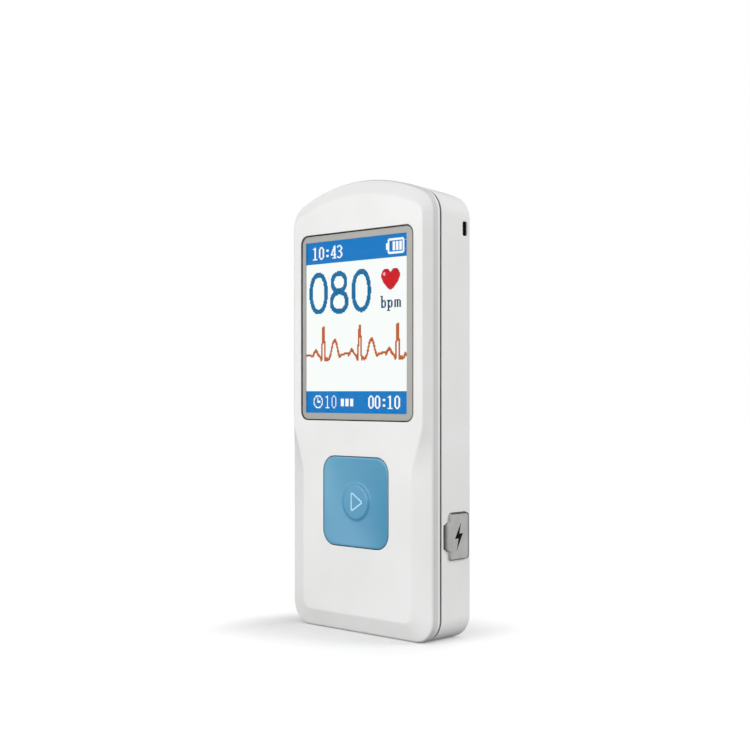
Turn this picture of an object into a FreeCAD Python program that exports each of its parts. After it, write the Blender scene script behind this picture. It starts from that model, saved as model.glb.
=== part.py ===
import FreeCAD, Part
import math
import os
import re
import Sketcher
from FreeCAD import Vector

# Hand-held ECG monitor, standing upright: +Z up, the display faces -Y, +X is its right side as seen
# from the front. The origin is the middle of the flat base. All sizes are millimetres.

doc = FreeCAD.newDocument("EcgMonitor")
sheet = doc.addObject("Spreadsheet::Sheet", "Sizes")

SIZES = {
    "Housing": {
        "body_width": 43.0, "body_height": 100.0, "body_depth": 14.4,
        "crown_radius": 45.0, "top_corner": 5.5, "base_corner": 5.3,
        "wall": 1.6, "front_wall": 1.7, "floor_inset": 3.0, "floor_step": 0.45,
        "seam_from_front": 3.9, "seam_gap": 0.3, "back_bevel": 0.9, "back_soft": 0.32,
        "tongue_inset": 0.95, "tongue_reach": 1.2, "groove_inset": 0.8, "groove_reach": 1.3,
    },
    "Raised front": {
        "bevel_drop": 1.5, "edge_soft": 0.5, "edge_inset": 0.22, "edge_lift": 0.1,
        "panel_half_top": 19.7, "panel_half_low": 16.5, "panel_base": 4.1, "panel_peak": 96.85,
        "panel_base_corner": 2.3, "panel_top_corner": 2.6,
        "waist_low": 36.2, "waist_high": 45.6, "waist_low_round": 10.0, "waist_high_round": 7.0,
        "waist_split": 1.3,
    },
    "Window": {
        "window_width": 34.2, "window_height": 41.8, "window_corner": 2.0, "window_z": 67.9,
        "window_depth": 1.0, "window_gap": 0.12, "window_sink": 0.23, "ledge": 0.7,
        "border_thick": 0.12, "glass_thick": 0.55, "view_width": 31.0, "view_height": 38.6,
    },
    "Display": {
        "lcd_width": 32.4, "lcd_height": 40.0, "lcd_front_gap": 0.05, "lcd_front_thick": 0.9,
        "lcd_back_width": 33.8, "lcd_back_height": 44.4, "lcd_back_thick": 0.6, "lcd_drop": 1.8,
        "light_width": 34.6, "light_height": 45.6, "light_thick": 2.2, "light_wall": 0.7,
        "flex_width": 13.0, "flex_thick": 0.15, "flex_bend": 0.8, "flex_inset": 0.3, "flex_lift": 0.45,
        "flex_drop": 1.1, "light_recess": 0.5, "pad_length": 28.0, "pad_height": 2.0, "pad_inset": 1.0,
    },
    "Button": {
        "button_size": 19.8, "button_corner": 3.4, "button_z": 29.1, "button_gap": 0.15,
        "button_thick": 2.2, "flange_out": 0.8, "flange_thick": 0.6,
        "flange_gap": 0.15, "dish_rim": 9.6, "dish_middle": 7.0, "dish_middle_depth": 0.65,
        "dish_depth": 1.0, "boss_radius": 4.5, "boss_sink": 0.6, "boss_edge": 0.25,
        "stub_radius": 1.8, "stub_length": 0.3,
    },
    "Screw posts": {
        "post_x": 14.0, "post_low": 6.6, "post_high": 92.6, "boss_post_radius": 2.2,
        "pilot_radius": 0.8, "pilot_depth": 4.6, "post_radius": 2.5, "screw_hole": 1.1,
        "head_bore": 2.0, "head_bore_depth": 2.2,
    },
    "Ribs": {
        "rib_thick": 0.8, "rib_gap": 0.15, "display_rib_low": 53.9, "display_rib_high": 79.9,
        "display_rib_long": 8.0, "battery_rib_long": 26.0, "rest_x": 16.5, "rest_z": 13.6, "rest_long": 6.0,
    },
    "Board": {
        "board_front": -0.6, "board_thick": 1.0, "board_width": 37.8, "board_low": 10.2,
        "board_high": 88.4,
        "processor_x": -5.0, "processor_z": 62.0, "processor_size": 10.0, "processor_tall": 1.4,
        "memory_chip_x": 7.0, "memory_chip_z": 57.0, "memory_chip_size": 5.0, "memory_chip_tall": 1.2,
        "ecg_amplifier_x": -10.0, "ecg_amplifier_z": 21.6, "ecg_amplifier_size": 7.0,
        "ecg_amplifier_tall": 1.0,
        "charger_chip_x": 5.0, "charger_chip_z": 33.5, "charger_chip_size": 3.0, "charger_chip_tall": 0.9,
        "crystal_left": 3.0, "crystal_low": 67.0, "crystal_long": 3.2, "crystal_wide": 1.5,
        "crystal_tall": 0.8, "buzzer_x": -9.0, "buzzer_z": 34.5, "buzzer_radius": 4.5, "buzzer_tall": 2.6,
        "small_long": 1.6, "small_wide": 0.8, "small_tall": 0.5, "small_pitch": 2.6, "connector_tall": 1.0,
        "connector_deep": 2.6,
    },
    "Switch": {
        "switch_size": 6.0, "switch_body": 2.6, "switch_plate": 0.3, "switch_well": 2.4,
        "switch_well_depth": 1.3, "plunger_radius": 1.65, "plunger_foot": 2.1,
        "plunger_gap": 0.04, "plunger_play": 0.1, "plunger_clear": 0.05, "plunger_foot_thick": 0.5,
        "dome_radius": 2.2, "dome_thick": 0.12,
    },
    "Port": {
        "port_z": 22.55, "port_y": 2.4, "socket_tall": 7.7, "socket_thick": 3.9, "socket_deep": 9.0,
        "socket_wall": 0.35, "socket_mouth": 19.8, "tongue_tall": 5.0, "tongue_thick": 1.0,
        "port_tall": 8.3, "port_wide": 4.6, "port_corner": 0.8, "socket_floor": 1.2, "tongue_back": 1.0,
    },
    "Cover": {
        "plate_tall": 9.9, "plate_front": -0.7, "plate_back": 5.2, "plate_corner": 0.7,
        "plate_proud": 0.6, "plate_sunk": 0.3, "plate_gap": 0.15, "plate_edge": 0.15,
        "plug_tall": 7.6, "plug_wide": 3.7, "plug_deep": 1.2, "plug_corner": 0.6,
        "strap_tall": 5.0, "strap_root": 6.3, "strap_front": -2.35, "strap_thick": 0.6,
        "strap_corner": 0.4, "strap_flare": 1.0, "plug_wall": 0.8,
        "hinge_gap": 0.1, "tail_thick": 0.75, "tail_deep": 2.9, "anchor_tall": 7.6,
        "anchor_deep": 0.8, "slot_gap": 0.08,
    },
    "Lanyard eye": {
        "eye_front": 3.9, "eye_back": 5.4, "eye_low": 86.9, "eye_high": 90.0, "eye_deep": 4.1,
        "eye_wall": 1.4, "eye_corner": 0.35,
    },
    "Electrodes": {
        "plate_width": 26.0, "plate_height": 13.0, "plate_round": 3.0, "plate_thick": 0.55,
        "electrode_edge": 0.2, "recess_gap": 0.1, "recess_depth": 0.6, "upper_z": 83.4, "lower_z": 21.6,
        "upper_pin_z": 86.8, "lower_pin_z": 21.6, "pin_radius": 0.9, "pin_hole": 1.2,
    },
    "Battery": {
        "cell_width": 30.0, "cell_height": 40.0, "cell_thick": 4.0, "cell_z": 65.0,
        "cell_front": 1.1, "cell_corner": 1.4, "tape_width": 22.0, "tape_height": 30.0, "tape_drop": 3.0,
        "lead_radius": 0.5, "lead_spacing": 2.0, "lead_inset": 0.9,
        "plug_x": 6.0, "plug_z": 39.6, "plug_width": 6.0, "plug_height": 3.6, "plug_thick": 2.8,
    },
}

row = 1
for group, cells in SIZES.items():
    sheet.set(f"A{row}", group)
    row += 1
    for alias, size in cells.items():
        sheet.set(f"A{row}", alias)
        sheet.set(f"B{row}", str(size))
        sheet.setAlias(f"B{row}", alias)
        row += 1

# Places that several pieces share, worked out from the driving sizes.
PLACES = {
    "half_width": "body_width / 2",
    "front_face": "-body_depth / 2",
    "back_face": "body_depth / 2",
    "bevel_edge": "front_face + bevel_drop",
    "front_floor": "front_face + front_wall",
    "seam_front": "front_face + seam_from_front",
    "seam_back": "seam_front + seam_gap",
    "back_floor": "back_face - wall",
    "ledge_face": "front_face + window_depth",
    "border_face": "front_face + window_sink",
    "glass_face": "border_face + border_thick",
    "glass_back": "glass_face + glass_thick",
    "lcd_face": "glass_back + lcd_front_gap",
    "lcd_back": "lcd_face + lcd_front_thick",
    "light_face": "lcd_back + lcd_back_thick",
    "light_back": "light_face + light_thick",
    "lcd_low_z": "window_z - lcd_drop",
    "board_back": "board_front + board_thick",
    "flange_face": "front_floor + flange_gap",
    "flange_back": "flange_face + flange_thick",
    "plunger_face": "flange_back + stub_length + plunger_gap",
    "flex_end": "button_z + button_size / 2 + 1.5",
    "cover_face": "half_width + plate_proud",
    "battery_back": "cell_front + cell_thick",
}
for alias, formula in PLACES.items():
    sheet.set(f"A{row}", alias)
    sheet.set(f"B{row}", "=" + formula)
    sheet.setAlias(f"B{row}", alias)
    row += 1
doc.recompute()

ALIASES = set(PLACES).union(*(cells.keys() for cells in SIZES.values()))


def bound(formula):
    """The formula with each size's name turned into a reference to its cell."""
    def linked(word):
        return "Sizes." + word[0] if word[0] in ALIASES else word[0]

    return re.sub(r"[a-z_]+", linked, str(formula))


def value(formula):
    return float(sheet.evalExpression(bound(formula)))


# ---------------------------------------------------------------- sketches

PLANES = {"front": "XZ_Plane", "side": "YZ_Plane"}


def sketch_on(body, view, offset, name):
    """A sketch in one of the body's own planes: front draws (x, z) and side draws (y, z)."""
    sketch = body.newObject("Sketcher::SketchObject", name)
    plane = [item for item in body.Origin.OriginFeatures if item.Role == PLANES[view]][0]
    sketch.AttachmentSupport = (plane, [""])
    sketch.MapMode = "FlatFace"
    sign = "-1 * " if view == "front" else ""
    sketch.setExpression("AttachmentOffset.Base.z", bound(f"{sign}({offset})"))
    return sketch


def fix_point(sketch, geometry, end, across, up):
    for kind, formula in (("DistanceX", across), ("DistanceY", up)):
        index = sketch.addConstraint(Sketcher.Constraint(kind, -1, 1, geometry, end, value(formula)))
        sketch.setExpression(f"Constraints[{index}]", bound(formula))


def circle(sketch, across, up, radius):
    centre = Vector(value(across), value(up), 0)
    index = sketch.addGeometry(Part.Circle(centre, Vector(0, 0, 1), value(radius)), False)
    fix_point(sketch, index, 3, across, up)
    size = sketch.addConstraint(Sketcher.Constraint("Radius", index, value(radius)))
    sketch.setExpression(f"Constraints[{size}]", bound(radius))


def touch_centre(corner, before, after, radius, side):
    """Centre of the arc of this radius that touches both edges near the corner.

    An edge is (point, direction, arc centre or None, arc radius)."""
    def shifted(edge):
        point, along, centre, arc = edge
        left = Vector(-along.y, along.x, 0)
        return (point + left * radius * side, along, centre, arc and arc - radius * side)

    first, second = shifted(before), shifted(after)
    if first[2] is None and second[2] is None:
        gap = second[0] - first[0]
        cross = first[1].x * second[1].y - first[1].y * second[1].x
        return first[0] + first[1] * ((gap.x * second[1].y - gap.y * second[1].x) / cross)
    line, arc = (first, second) if first[2] is None else (second, first)
    foot = line[0] + line[1] * (arc[2] - line[0]).dot(line[1])
    reach = math.sqrt(arc[3] ** 2 - (foot - arc[2]).Length ** 2)
    return min((foot + line[1] * reach, foot - line[1] * reach), key=lambda spot: (spot - corner).Length)


def touch_point(edge, centre):
    point, along, arc_centre, arc = edge
    if arc_centre is None:
        return point + along * (centre - point).dot(along)
    return arc_centre + (centre - arc_centre).normalize() * arc


def outline(sketch, corners, arcs=None):
    """A closed profile, anticlockwise, through corners (across, up, rounding or None).

    arcs gives, by the number of the corner it starts from, the radius of a side that bows outwards.
    Each corner stays as a dimensioned construction point that its two sides pass through."""
    arcs = arcs or {}
    count = len(corners)
    points = [Vector(value(across), value(up), 0) for across, up, _ in corners]
    edges = []
    for index, start in enumerate(points):
        end = points[(index + 1) % count]
        along = (end - start).normalize()
        if index not in arcs:
            edges.append((start, along, None, None))
            continue
        radius = value(arcs[index])
        rise = math.sqrt(radius ** 2 - ((end - start).Length / 2) ** 2)
        edges.append((start, along, (start + end) / 2 + Vector(-along.y, along.x, 0) * rise, radius))

    starts, ends, rounds = [None] * count, [None] * count, {}
    for index, (across, up, rounding) in enumerate(corners):
        before, after = edges[index - 1], edges[index]
        if rounding is None:
            starts[index] = ends[index - 1] = points[index]
            continue
        turn = before[1].x * after[1].y - before[1].y * after[1].x
        side = 1 if turn > 0 else -1
        centre = touch_centre(points[index], before, after, value(rounding), side)
        starts[index], ends[index - 1] = touch_point(after, centre), touch_point(before, centre)
        rounds[index] = (centre, side)

    def arc_of(centre, radius, begin, finish):
        angles = [math.atan2(spot.y - centre.y, spot.x - centre.x) for spot in (begin, finish)]
        return Part.ArcOfCircle(Part.Circle(centre, Vector(0, 0, 1), radius), *angles)

    sides = []
    for index in range(count):
        if index in arcs:
            shape = arc_of(edges[index][2], edges[index][3], starts[index], ends[index])
        else:
            shape = Part.LineSegment(starts[index], ends[index])
        sides.append(sketch.addGeometry(shape, False))
    for index, radius in arcs.items():
        size = sketch.addConstraint(Sketcher.Constraint("Radius", sides[index], value(radius)))
        sketch.setExpression(f"Constraints[{size}]", bound(radius))

    for index, (across, up, rounding) in enumerate(corners):
        before, after = sides[index - 1], sides[index]
        if rounding is None:
            sketch.addConstraint(Sketcher.Constraint("Coincident", before, 2, after, 1))
            fix_point(sketch, after, 1, across, up)
            continue
        centre, side = rounds[index]
        spots = (ends[index - 1], starts[index]) if side > 0 else (starts[index], ends[index - 1])
        arc = sketch.addGeometry(arc_of(centre, value(rounding), *spots), False)
        meets, leaves = (1, 2) if side > 0 else (2, 1)
        sketch.addConstraint(Sketcher.Constraint("Tangent", before, 2, arc, meets))
        sketch.addConstraint(Sketcher.Constraint("Tangent", arc, leaves, after, 1))
        size = sketch.addConstraint(Sketcher.Constraint("Radius", arc, value(rounding)))
        sketch.setExpression(f"Constraints[{size}]", bound(rounding))
        mark = sketch.addGeometry(Part.Point(points[index]), True)
        fix_point(sketch, mark, 1, across, up)
        sketch.addConstraint(Sketcher.Constraint("PointOnObject", mark, 1, before))
        sketch.addConstraint(Sketcher.Constraint("PointOnObject", mark, 1, after))


def rounded_box(sketch, across, up, width, height, rounding):
    left, right = f"{across} - ({width}) / 2", f"{across} + ({width}) / 2"
    low, high = f"{up} - ({height}) / 2", f"{up} + ({height}) / 2"
    outline(sketch, [(left, low, rounding), (right, low, rounding), (right, high, rounding),
                     (left, high, rounding)])


def housing_outline(sketch, inset):
    """The housing seen from the front, inset by a wall: straight sides, flat base and bowed crown."""
    half = f"(half_width - {inset})"
    shoulder = f"(body_height - crown_radius + sqrt(pow(crown_radius - {inset}; 2) - pow({half}; 2)))"
    low, high = f"max(base_corner - {inset}; 0.5)", f"max(top_corner - {inset}; 0.5)"
    outline(sketch, [(f"-{half}", inset, low), (half, inset, low), (half, shoulder, high),
                     (f"-{half}", shoulder, high)], {2: f"crown_radius - {inset}"})


# ---------------------------------------------------------------- features

def feature(body, kind, name, profile, **settings):
    made = body.newObject("PartDesign::" + kind, name)
    made.Profile = (profile, [""])
    for setting, formula in settings.items():
        if isinstance(formula, bool):
            setattr(made, setting, formula)
        else:
            made.setExpression(setting, bound(formula))
    profile.Visibility = False
    return made


def pad(body, profile, length, name, towards_back=True):
    """Grows a front sketch towards the back, or a side sketch towards +X when towards_back is off."""
    return feature(body, "Pad", name, profile, Length=length, Reversed=towards_back)


def pocket(body, profile, length, name, reversed_way=False):
    """Cuts a front sketch towards the back (or towards the front, reversed)."""
    doc.recompute()
    before = body.Shape.Volume
    made = feature(body, "Pocket", name, profile, Length=length, Reversed=reversed_way)
    doc.recompute()
    if body.Shape.Volume > before - 1e-4:
        raise RuntimeError(f"{body.Label}: {name} cuts nothing")
    return made


def bevel_edges(body, test, size, name):
    """Bevels the edges whose middle passes the test."""
    doc.recompute()
    base = body.Tip
    chosen = []
    for number, edge in enumerate(base.Shape.Edges, 1):
        middle = edge.valueAt((edge.FirstParameter + edge.LastParameter) / 2)
        if test(middle):
            chosen.append(f"Edge{number}")
    if not chosen:
        raise RuntimeError(f"{body.Label}: {name} finds no edge")
    made = body.newObject("PartDesign::Chamfer", name)
    made.Base = (base, chosen)
    made.setExpression("Size", bound(size))
    base.Visibility = False
    doc.recompute()
    return made


def new_body(name):
    body = doc.addObject("PartDesign::Body", name)
    body.Label = name
    return body


def box(name, x_span, y_span, z_span):
    """A plain block from spans of two formulas each."""
    made = doc.addObject("Part::Box", name)
    for size, axis, (low, high) in (("Length", "x", x_span), ("Width", "y", y_span), ("Height", "z", z_span)):
        made.setExpression(size, bound(f"({high}) - ({low})"))
        made.setExpression(f"Placement.Base.{axis}", bound(low))
    return made


def rod(name, across, up, y_span, radius):
    """A cylinder along +Y."""
    made = doc.addObject("Part::Cylinder", name)
    made.Placement.Rotation = FreeCAD.Rotation(Vector(1, 0, 0), -90)
    made.setExpression("Radius", bound(radius))
    made.setExpression("Height", bound(f"({y_span[1]}) - ({y_span[0]})"))
    made.setExpression("Placement.Base.x", bound(across))
    made.setExpression("Placement.Base.y", bound(y_span[0]))
    made.setExpression("Placement.Base.z", bound(up))
    return made


def cut(name, base, tool):
    made = doc.addObject("Part::Cut", name)
    made.Base, made.Tool = base, tool
    return made


def fuse(name, pieces):
    made = doc.addObject("Part::MultiFuse", name)
    made.Shapes = pieces
    return made


def group(name, pieces):
    made = doc.addObject("Part::Compound", name)
    made.Links = pieces
    return made


def soften(name, base, radius, axis):
    """Rounds the edges of a Part object that run along an axis."""
    doc.recompute()
    made = doc.addObject("Part::Fillet", name)
    made.Base = base
    size = value(radius)
    made.Edges = [(number, size, size) for number, edge in enumerate(base.Shape.Edges, 1)
                  if abs(edge.tangentAt(0).dot(axis)) > 0.999]
    return made


SCREW_SPOTS = [(side, level) for side in ("-post_x", "post_x") for level in ("post_low", "post_high")]
nodes = {}


def keep(name, made):
    made.Label = name
    nodes[name] = made


# ---------------------------------------------------------------- front half of the housing

def panel_outline(sketch):
    """The raised front: wide round the display, drawn in at the waist, narrow round the button."""
    shoulder = "(panel_peak - crown_radius + sqrt(pow(crown_radius; 2) - pow(panel_half_top; 2)))"
    right = [("panel_half_low", "panel_base", "panel_base_corner"),
             ("panel_half_low", "waist_low", "waist_low_round"),
             ("panel_half_top", "waist_high", "waist_high_round"),
             ("panel_half_top", shoulder, "panel_top_corner")]
    left = [("-" + across, up, rounding) for across, up, rounding in reversed(right)]
    outline(sketch, right + left, {3: "crown_radius"})


def bevel_outline(sketch, inset):
    """The housing's outline with its sides split opposite the waist, so that the bevel's strips pair up."""
    half = f"(half_width - {inset})"
    shoulder = f"(body_height - crown_radius + sqrt(pow(crown_radius - {inset}; 2) - pow({half}; 2)))"
    splits = [f"{level} {sign} waist_split" for level in ("waist_low", "waist_high") for sign in "-+"]
    right = [(half, inset, f"base_corner - {inset}")]
    right += [(half, split, None) for split in splits]
    right += [(half, shoulder, f"top_corner - {inset}")]
    left = [("-" + across, up, rounding) for across, up, rounding in reversed(right)]
    outline(sketch, right + left, {5: f"crown_radius - {inset}"})


def make_front_shell():
    body = new_body("front_shell")
    rim = sketch_on(body, "front", "bevel_edge + edge_soft", "front_rim")
    housing_outline(rim, "0")
    pad(body, rim, "seam_front - bevel_edge - edge_soft", "front_band")

    foot = sketch_on(body, "front", "bevel_edge + edge_soft", "bevel_foot")
    bevel_outline(foot, "0")
    shoulder = sketch_on(body, "front", "bevel_edge + edge_lift", "bevel_shoulder")
    bevel_outline(shoulder, "edge_inset")
    crest = sketch_on(body, "front", "front_face", "panel")
    panel_outline(crest)
    bevel = body.newObject("PartDesign::AdditiveLoft", "bevel")
    bevel.Profile = (foot, [""])
    bevel.Sections = [(shoulder, [""]), (crest, [""])]
    bevel.Ruled = True

    deep = sketch_on(body, "front", "front_floor", "cavity_deep")
    housing_outline(deep, "floor_inset")
    pocket(body, deep, "seam_front - front_floor", "cavity")
    wide = sketch_on(body, "front", "front_floor + floor_step", "cavity_wide")
    housing_outline(wide, "wall")
    pocket(body, wide, "seam_front - front_floor - floor_step", "cavity_step")
    groove = sketch_on(body, "front", "seam_front - groove_reach", "groove")
    housing_outline(groove, "groove_inset")
    pocket(body, groove, "groove_reach", "tongue_groove")

    recess = sketch_on(body, "front", "front_face", "window_recess_outline")
    rounded_box(recess, "0", "window_z", "window_width", "window_height", "window_corner")
    pocket(body, recess, "window_depth", "window_recess")
    opening = sketch_on(body, "front", "ledge_face", "window_opening_outline")
    rounded_box(opening, "0", "window_z", "window_width - 2 * ledge", "window_height - 2 * ledge",
                "window_corner - ledge")
    pocket(body, opening, "front_wall", "window_opening")
    key_hole = sketch_on(body, "front", "front_face", "button_opening_outline")
    rounded_box(key_hole, "0", "button_z", "button_size + 2 * button_gap", "button_size + 2 * button_gap",
                "button_corner + button_gap")
    pocket(body, key_hole, "front_wall + 0.5", "button_opening")

    posts = sketch_on(body, "front", "front_floor - 0.2", "post_circles")
    for side, level in SCREW_SPOTS:
        circle(posts, side, level, "boss_post_radius")
    pad(body, posts, "board_front - front_floor + 0.2", "screw_posts")
    pilots = sketch_on(body, "front", "board_front", "pilot_circles")
    for side, level in SCREW_SPOTS:
        circle(pilots, side, level, "pilot_radius")
    pocket(body, pilots, "pilot_depth", "pilot_holes", reversed_way=True)

    ribs = sketch_on(body, "front", "front_floor - 0.2", "display_rib_outlines")
    for side in ("-1", "1"):
        beside = f"{side} * (light_width / 2 + rib_gap + rib_thick / 2)"
        rounded_box(ribs, beside, "display_rib_low", "rib_thick", "display_rib_long", None)
        rounded_box(ribs, beside, "display_rib_high", "rib_thick", "display_rib_long", None)
        rounded_box(ribs, f"{side} * rest_x", "rest_z", "rib_thick", "rest_long", None)
    pad(body, ribs, "board_front - front_floor + 0.2", "display_ribs_and_rests")
    keep("front_shell", body)


# ---------------------------------------------------------------- back half of the housing

def make_back_shell():
    body = new_body("back_shell")
    rim = sketch_on(body, "front", "seam_back", "back_rim")
    housing_outline(rim, "0")
    pad(body, rim, "back_face - seam_back", "back_block")
    back_y = value("back_face")
    bevel_edges(body, lambda middle: abs(middle.y - back_y) < 0.01, "back_bevel", "back_edge_bevel")
    levels = (back_y, back_y - value("back_bevel"))
    bevel_edges(body, lambda middle: min(abs(middle.y - level) for level in levels) < 0.01, "back_soft",
                "back_edge_soft")
    cavity = sketch_on(body, "front", "seam_back", "back_cavity_outline")
    housing_outline(cavity, "wall")
    pocket(body, cavity, "back_floor - seam_back", "back_cavity")
    tongue = sketch_on(body, "front", "seam_back - tongue_reach", "tongue_ring")
    housing_outline(tongue, "tongue_inset")
    housing_outline(tongue, "wall")
    pad(body, tongue, "tongue_reach + 0.8", "tongue")

    posts = sketch_on(body, "front", "board_front", "back_post_circles")
    for side, level in SCREW_SPOTS:
        circle(posts, side, level, "post_radius")
    pad(body, posts, "back_floor - board_front + 0.2", "back_posts")
    heads = sketch_on(body, "front", "back_face", "head_circles")
    for side, level in SCREW_SPOTS:
        circle(heads, side, level, "head_bore")
    pocket(body, heads, "head_bore_depth", "head_bores", reversed_way=True)
    holes = sketch_on(body, "front", "board_front", "screw_hole_circles")
    for side, level in SCREW_SPOTS:
        circle(holes, side, level, "screw_hole")
    pocket(body, holes, "back_face - board_front", "screw_holes")

    plates = sketch_on(body, "front", "back_face", "electrode_recess_outlines")
    for level in ("upper_z", "lower_z"):
        rounded_box(plates, "0", level, "plate_width + 2 * recess_gap", "plate_height + 2 * recess_gap",
                    "plate_round + recess_gap")
    pocket(body, plates, "recess_depth", "electrode_recesses", reversed_way=True)
    pin_ways = sketch_on(body, "front", "back_floor", "pin_hole_circles")
    for level in ("upper_pin_z", "lower_pin_z"):
        circle(pin_ways, "0", level, "pin_hole")
    pocket(body, pin_ways, "wall", "pin_holes")

    ribs = sketch_on(body, "front", "board_back", "battery_rib_outlines")
    for side in ("-1", "1"):
        rounded_box(ribs, f"{side} * (cell_width / 2 + rib_gap + rib_thick / 2)", "cell_z", "rib_thick",
                    "battery_rib_long", None)
        rounded_box(ribs, f"{side} * rest_x", "rest_z", "rib_thick", "rest_long", None)
    pad(body, ribs, "back_floor - board_back + 0.2", "battery_ribs_and_rests")

    make_lanyard_eye(body)
    make_port_opening(body)
    keep("back_shell", body)


def make_lanyard_eye(body):
    """A passage in from the side and out through the back, which leaves a bar at the corner."""
    inner = "(half_width - eye_deep)"
    low, high = "eye_low - eye_wall", "eye_high + eye_wall"
    block = sketch_on(body, "front", "eye_front - eye_wall", "eye_block_outline")
    outline(block, [(f"{inner} - eye_wall", low, None), ("half_width - wall + 0.2", low, None),
                    ("half_width - wall + 0.2", high, None), (f"{inner} - eye_wall", high, None)])
    pad(body, block, "back_floor - eye_front + eye_wall + 0.2", "eye_block")
    side_way = sketch_on(body, "side", "half_width", "eye_side_outline")
    rounded_box(side_way, "(eye_front + eye_back) / 2", "(eye_low + eye_high) / 2", "eye_back - eye_front",
                "eye_high - eye_low", "eye_corner")
    pocket(body, side_way, "eye_deep", "eye_side_way")
    back_way = sketch_on(body, "front", "eye_back - 0.4", "eye_back_outline")
    rounded_box(back_way, f"{inner} + (eye_back - eye_front) / 2", "(eye_low + eye_high) / 2",
                "eye_back - eye_front", "eye_high - eye_low", None)
    pocket(body, back_way, "back_face - eye_back + 0.5", "eye_back_way")


def make_port_opening(body):
    port = sketch_on(body, "side", "half_width", "port_outline")
    rounded_box(port, "port_y", "port_z", "port_wide", "port_tall", "port_corner")
    pocket(body, port, "wall + 0.1", "port_opening")
    seat = sketch_on(body, "side", "half_width", "cover_seat_outline")
    rounded_box(seat, "(plate_front + plate_back) / 2", "port_z", "plate_back - plate_front + 2 * plate_gap",
                "plate_tall + 2 * plate_gap", "plate_corner + plate_gap")
    pocket(body, seat, "plate_sunk", "cover_seat")
    slot = sketch_on(body, "side", "half_width", "strap_slot_outline")
    rounded_box(slot, "strap_front + tail_thick / 2", "port_z", "tail_thick + 2 * slot_gap",
                "strap_tall + 2 * slot_gap", None)
    pocket(body, slot, "wall + 0.1", "strap_slot")


# ---------------------------------------------------------------- window and display

def make_window():
    border = new_body("window_border")
    ring = sketch_on(border, "front", "border_face", "border_ring")
    rounded_box(ring, "0", "window_z", "window_width - 2 * window_gap", "window_height - 2 * window_gap",
                "window_corner - window_gap")
    rounded_box(ring, "0", "window_z", "view_width", "view_height", None)
    pad(border, ring, "border_thick", "border")
    keep("window_border", border)

    glass = new_body("display_window")
    sheet_outline = sketch_on(glass, "front", "glass_face", "glass_outline")
    rounded_box(sheet_outline, "0", "window_z", "window_width - 2 * window_gap",
                "window_height - 2 * window_gap", "window_corner - window_gap")
    pad(glass, sheet_outline, "glass_thick", "glass")
    keep("display_window", glass)

    tape = new_body("window_tape")
    frame = sketch_on(tape, "front", "glass_back", "tape_ring")
    rounded_box(frame, "0", "window_z", "window_width - 2 * window_gap", "window_height - 2 * window_gap",
                "window_corner - window_gap")
    rounded_box(frame, "0", "window_z", "window_width - 2 * ledge", "window_height - 2 * ledge", None)
    pad(tape, frame, "ledge_face - glass_back", "tape")
    keep("window_tape", tape)


def make_display():
    panel = new_body("lcd_panel")
    front = sketch_on(panel, "front", "lcd_face", "lcd_front_outline")
    rounded_box(front, "0", "window_z", "lcd_width", "lcd_height", "window_corner - 1.3 * ledge")
    pad(panel, front, "lcd_front_thick", "lcd_front")
    back = sketch_on(panel, "front", "lcd_back", "lcd_back_outline")
    rounded_box(back, "0", "lcd_low_z", "lcd_back_width", "lcd_back_height", None)
    pad(panel, back, "lcd_back_thick", "lcd_back_glass")
    keep("lcd_panel", panel)

    light = new_body("lcd_backlight")
    tray = sketch_on(light, "front", "light_face", "light_outline")
    rounded_box(tray, "0", "lcd_low_z", "light_width", "light_height", None)
    pad(light, tray, "light_thick", "light_block")
    well = sketch_on(light, "front", "light_back - light_recess", "light_back_outline")
    rounded_box(well, "0", "lcd_low_z", "light_width - 4 * light_wall", "light_height - 4 * light_wall", None)
    pocket(light, well, "light_recess", "light_back_recess")
    keep("lcd_backlight", light)

    strips = []
    for name, level in (("lcd_tape_low", "lcd_low_z - light_height / 2 + pad_inset"),
                        ("lcd_tape_high", "lcd_low_z + light_height / 2 - pad_inset - pad_height")):
        strips.append(box(name, ("-pad_length / 2", "pad_length / 2"), ("light_back", "board_front"),
                          (level, level + " + pad_height")))
    keep("lcd_tape", group("lcd_tape_strips", strips))

    flex = new_body("lcd_flex")
    profile = sketch_on(flex, "side", "-flex_width / 2", "flex_profile")
    top, bottom = "lcd_low_z - lcd_back_height / 2", "flex_end"
    front_y, back_y = "light_face - flex_inset", "board_front - flex_lift"
    shelf = "lcd_low_z - light_height / 2 - flex_drop"
    outline(profile, [(front_y, top, None), (front_y, shelf, "flex_bend"),
                      (back_y, shelf, "flex_bend + flex_thick"), (back_y, bottom, None),
                      (f"{back_y} + flex_thick", bottom, None),
                      (f"{back_y} + flex_thick", f"{shelf} + flex_thick", "flex_bend"),
                      (f"{front_y} + flex_thick", f"{shelf} + flex_thick", "flex_bend - flex_thick"),
                      (f"{front_y} + flex_thick", top, None)])
    pad(flex, profile, "flex_width", "flex_ribbon", towards_back=False)
    keep("lcd_flex", flex)


# ---------------------------------------------------------------- button and switch

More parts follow.
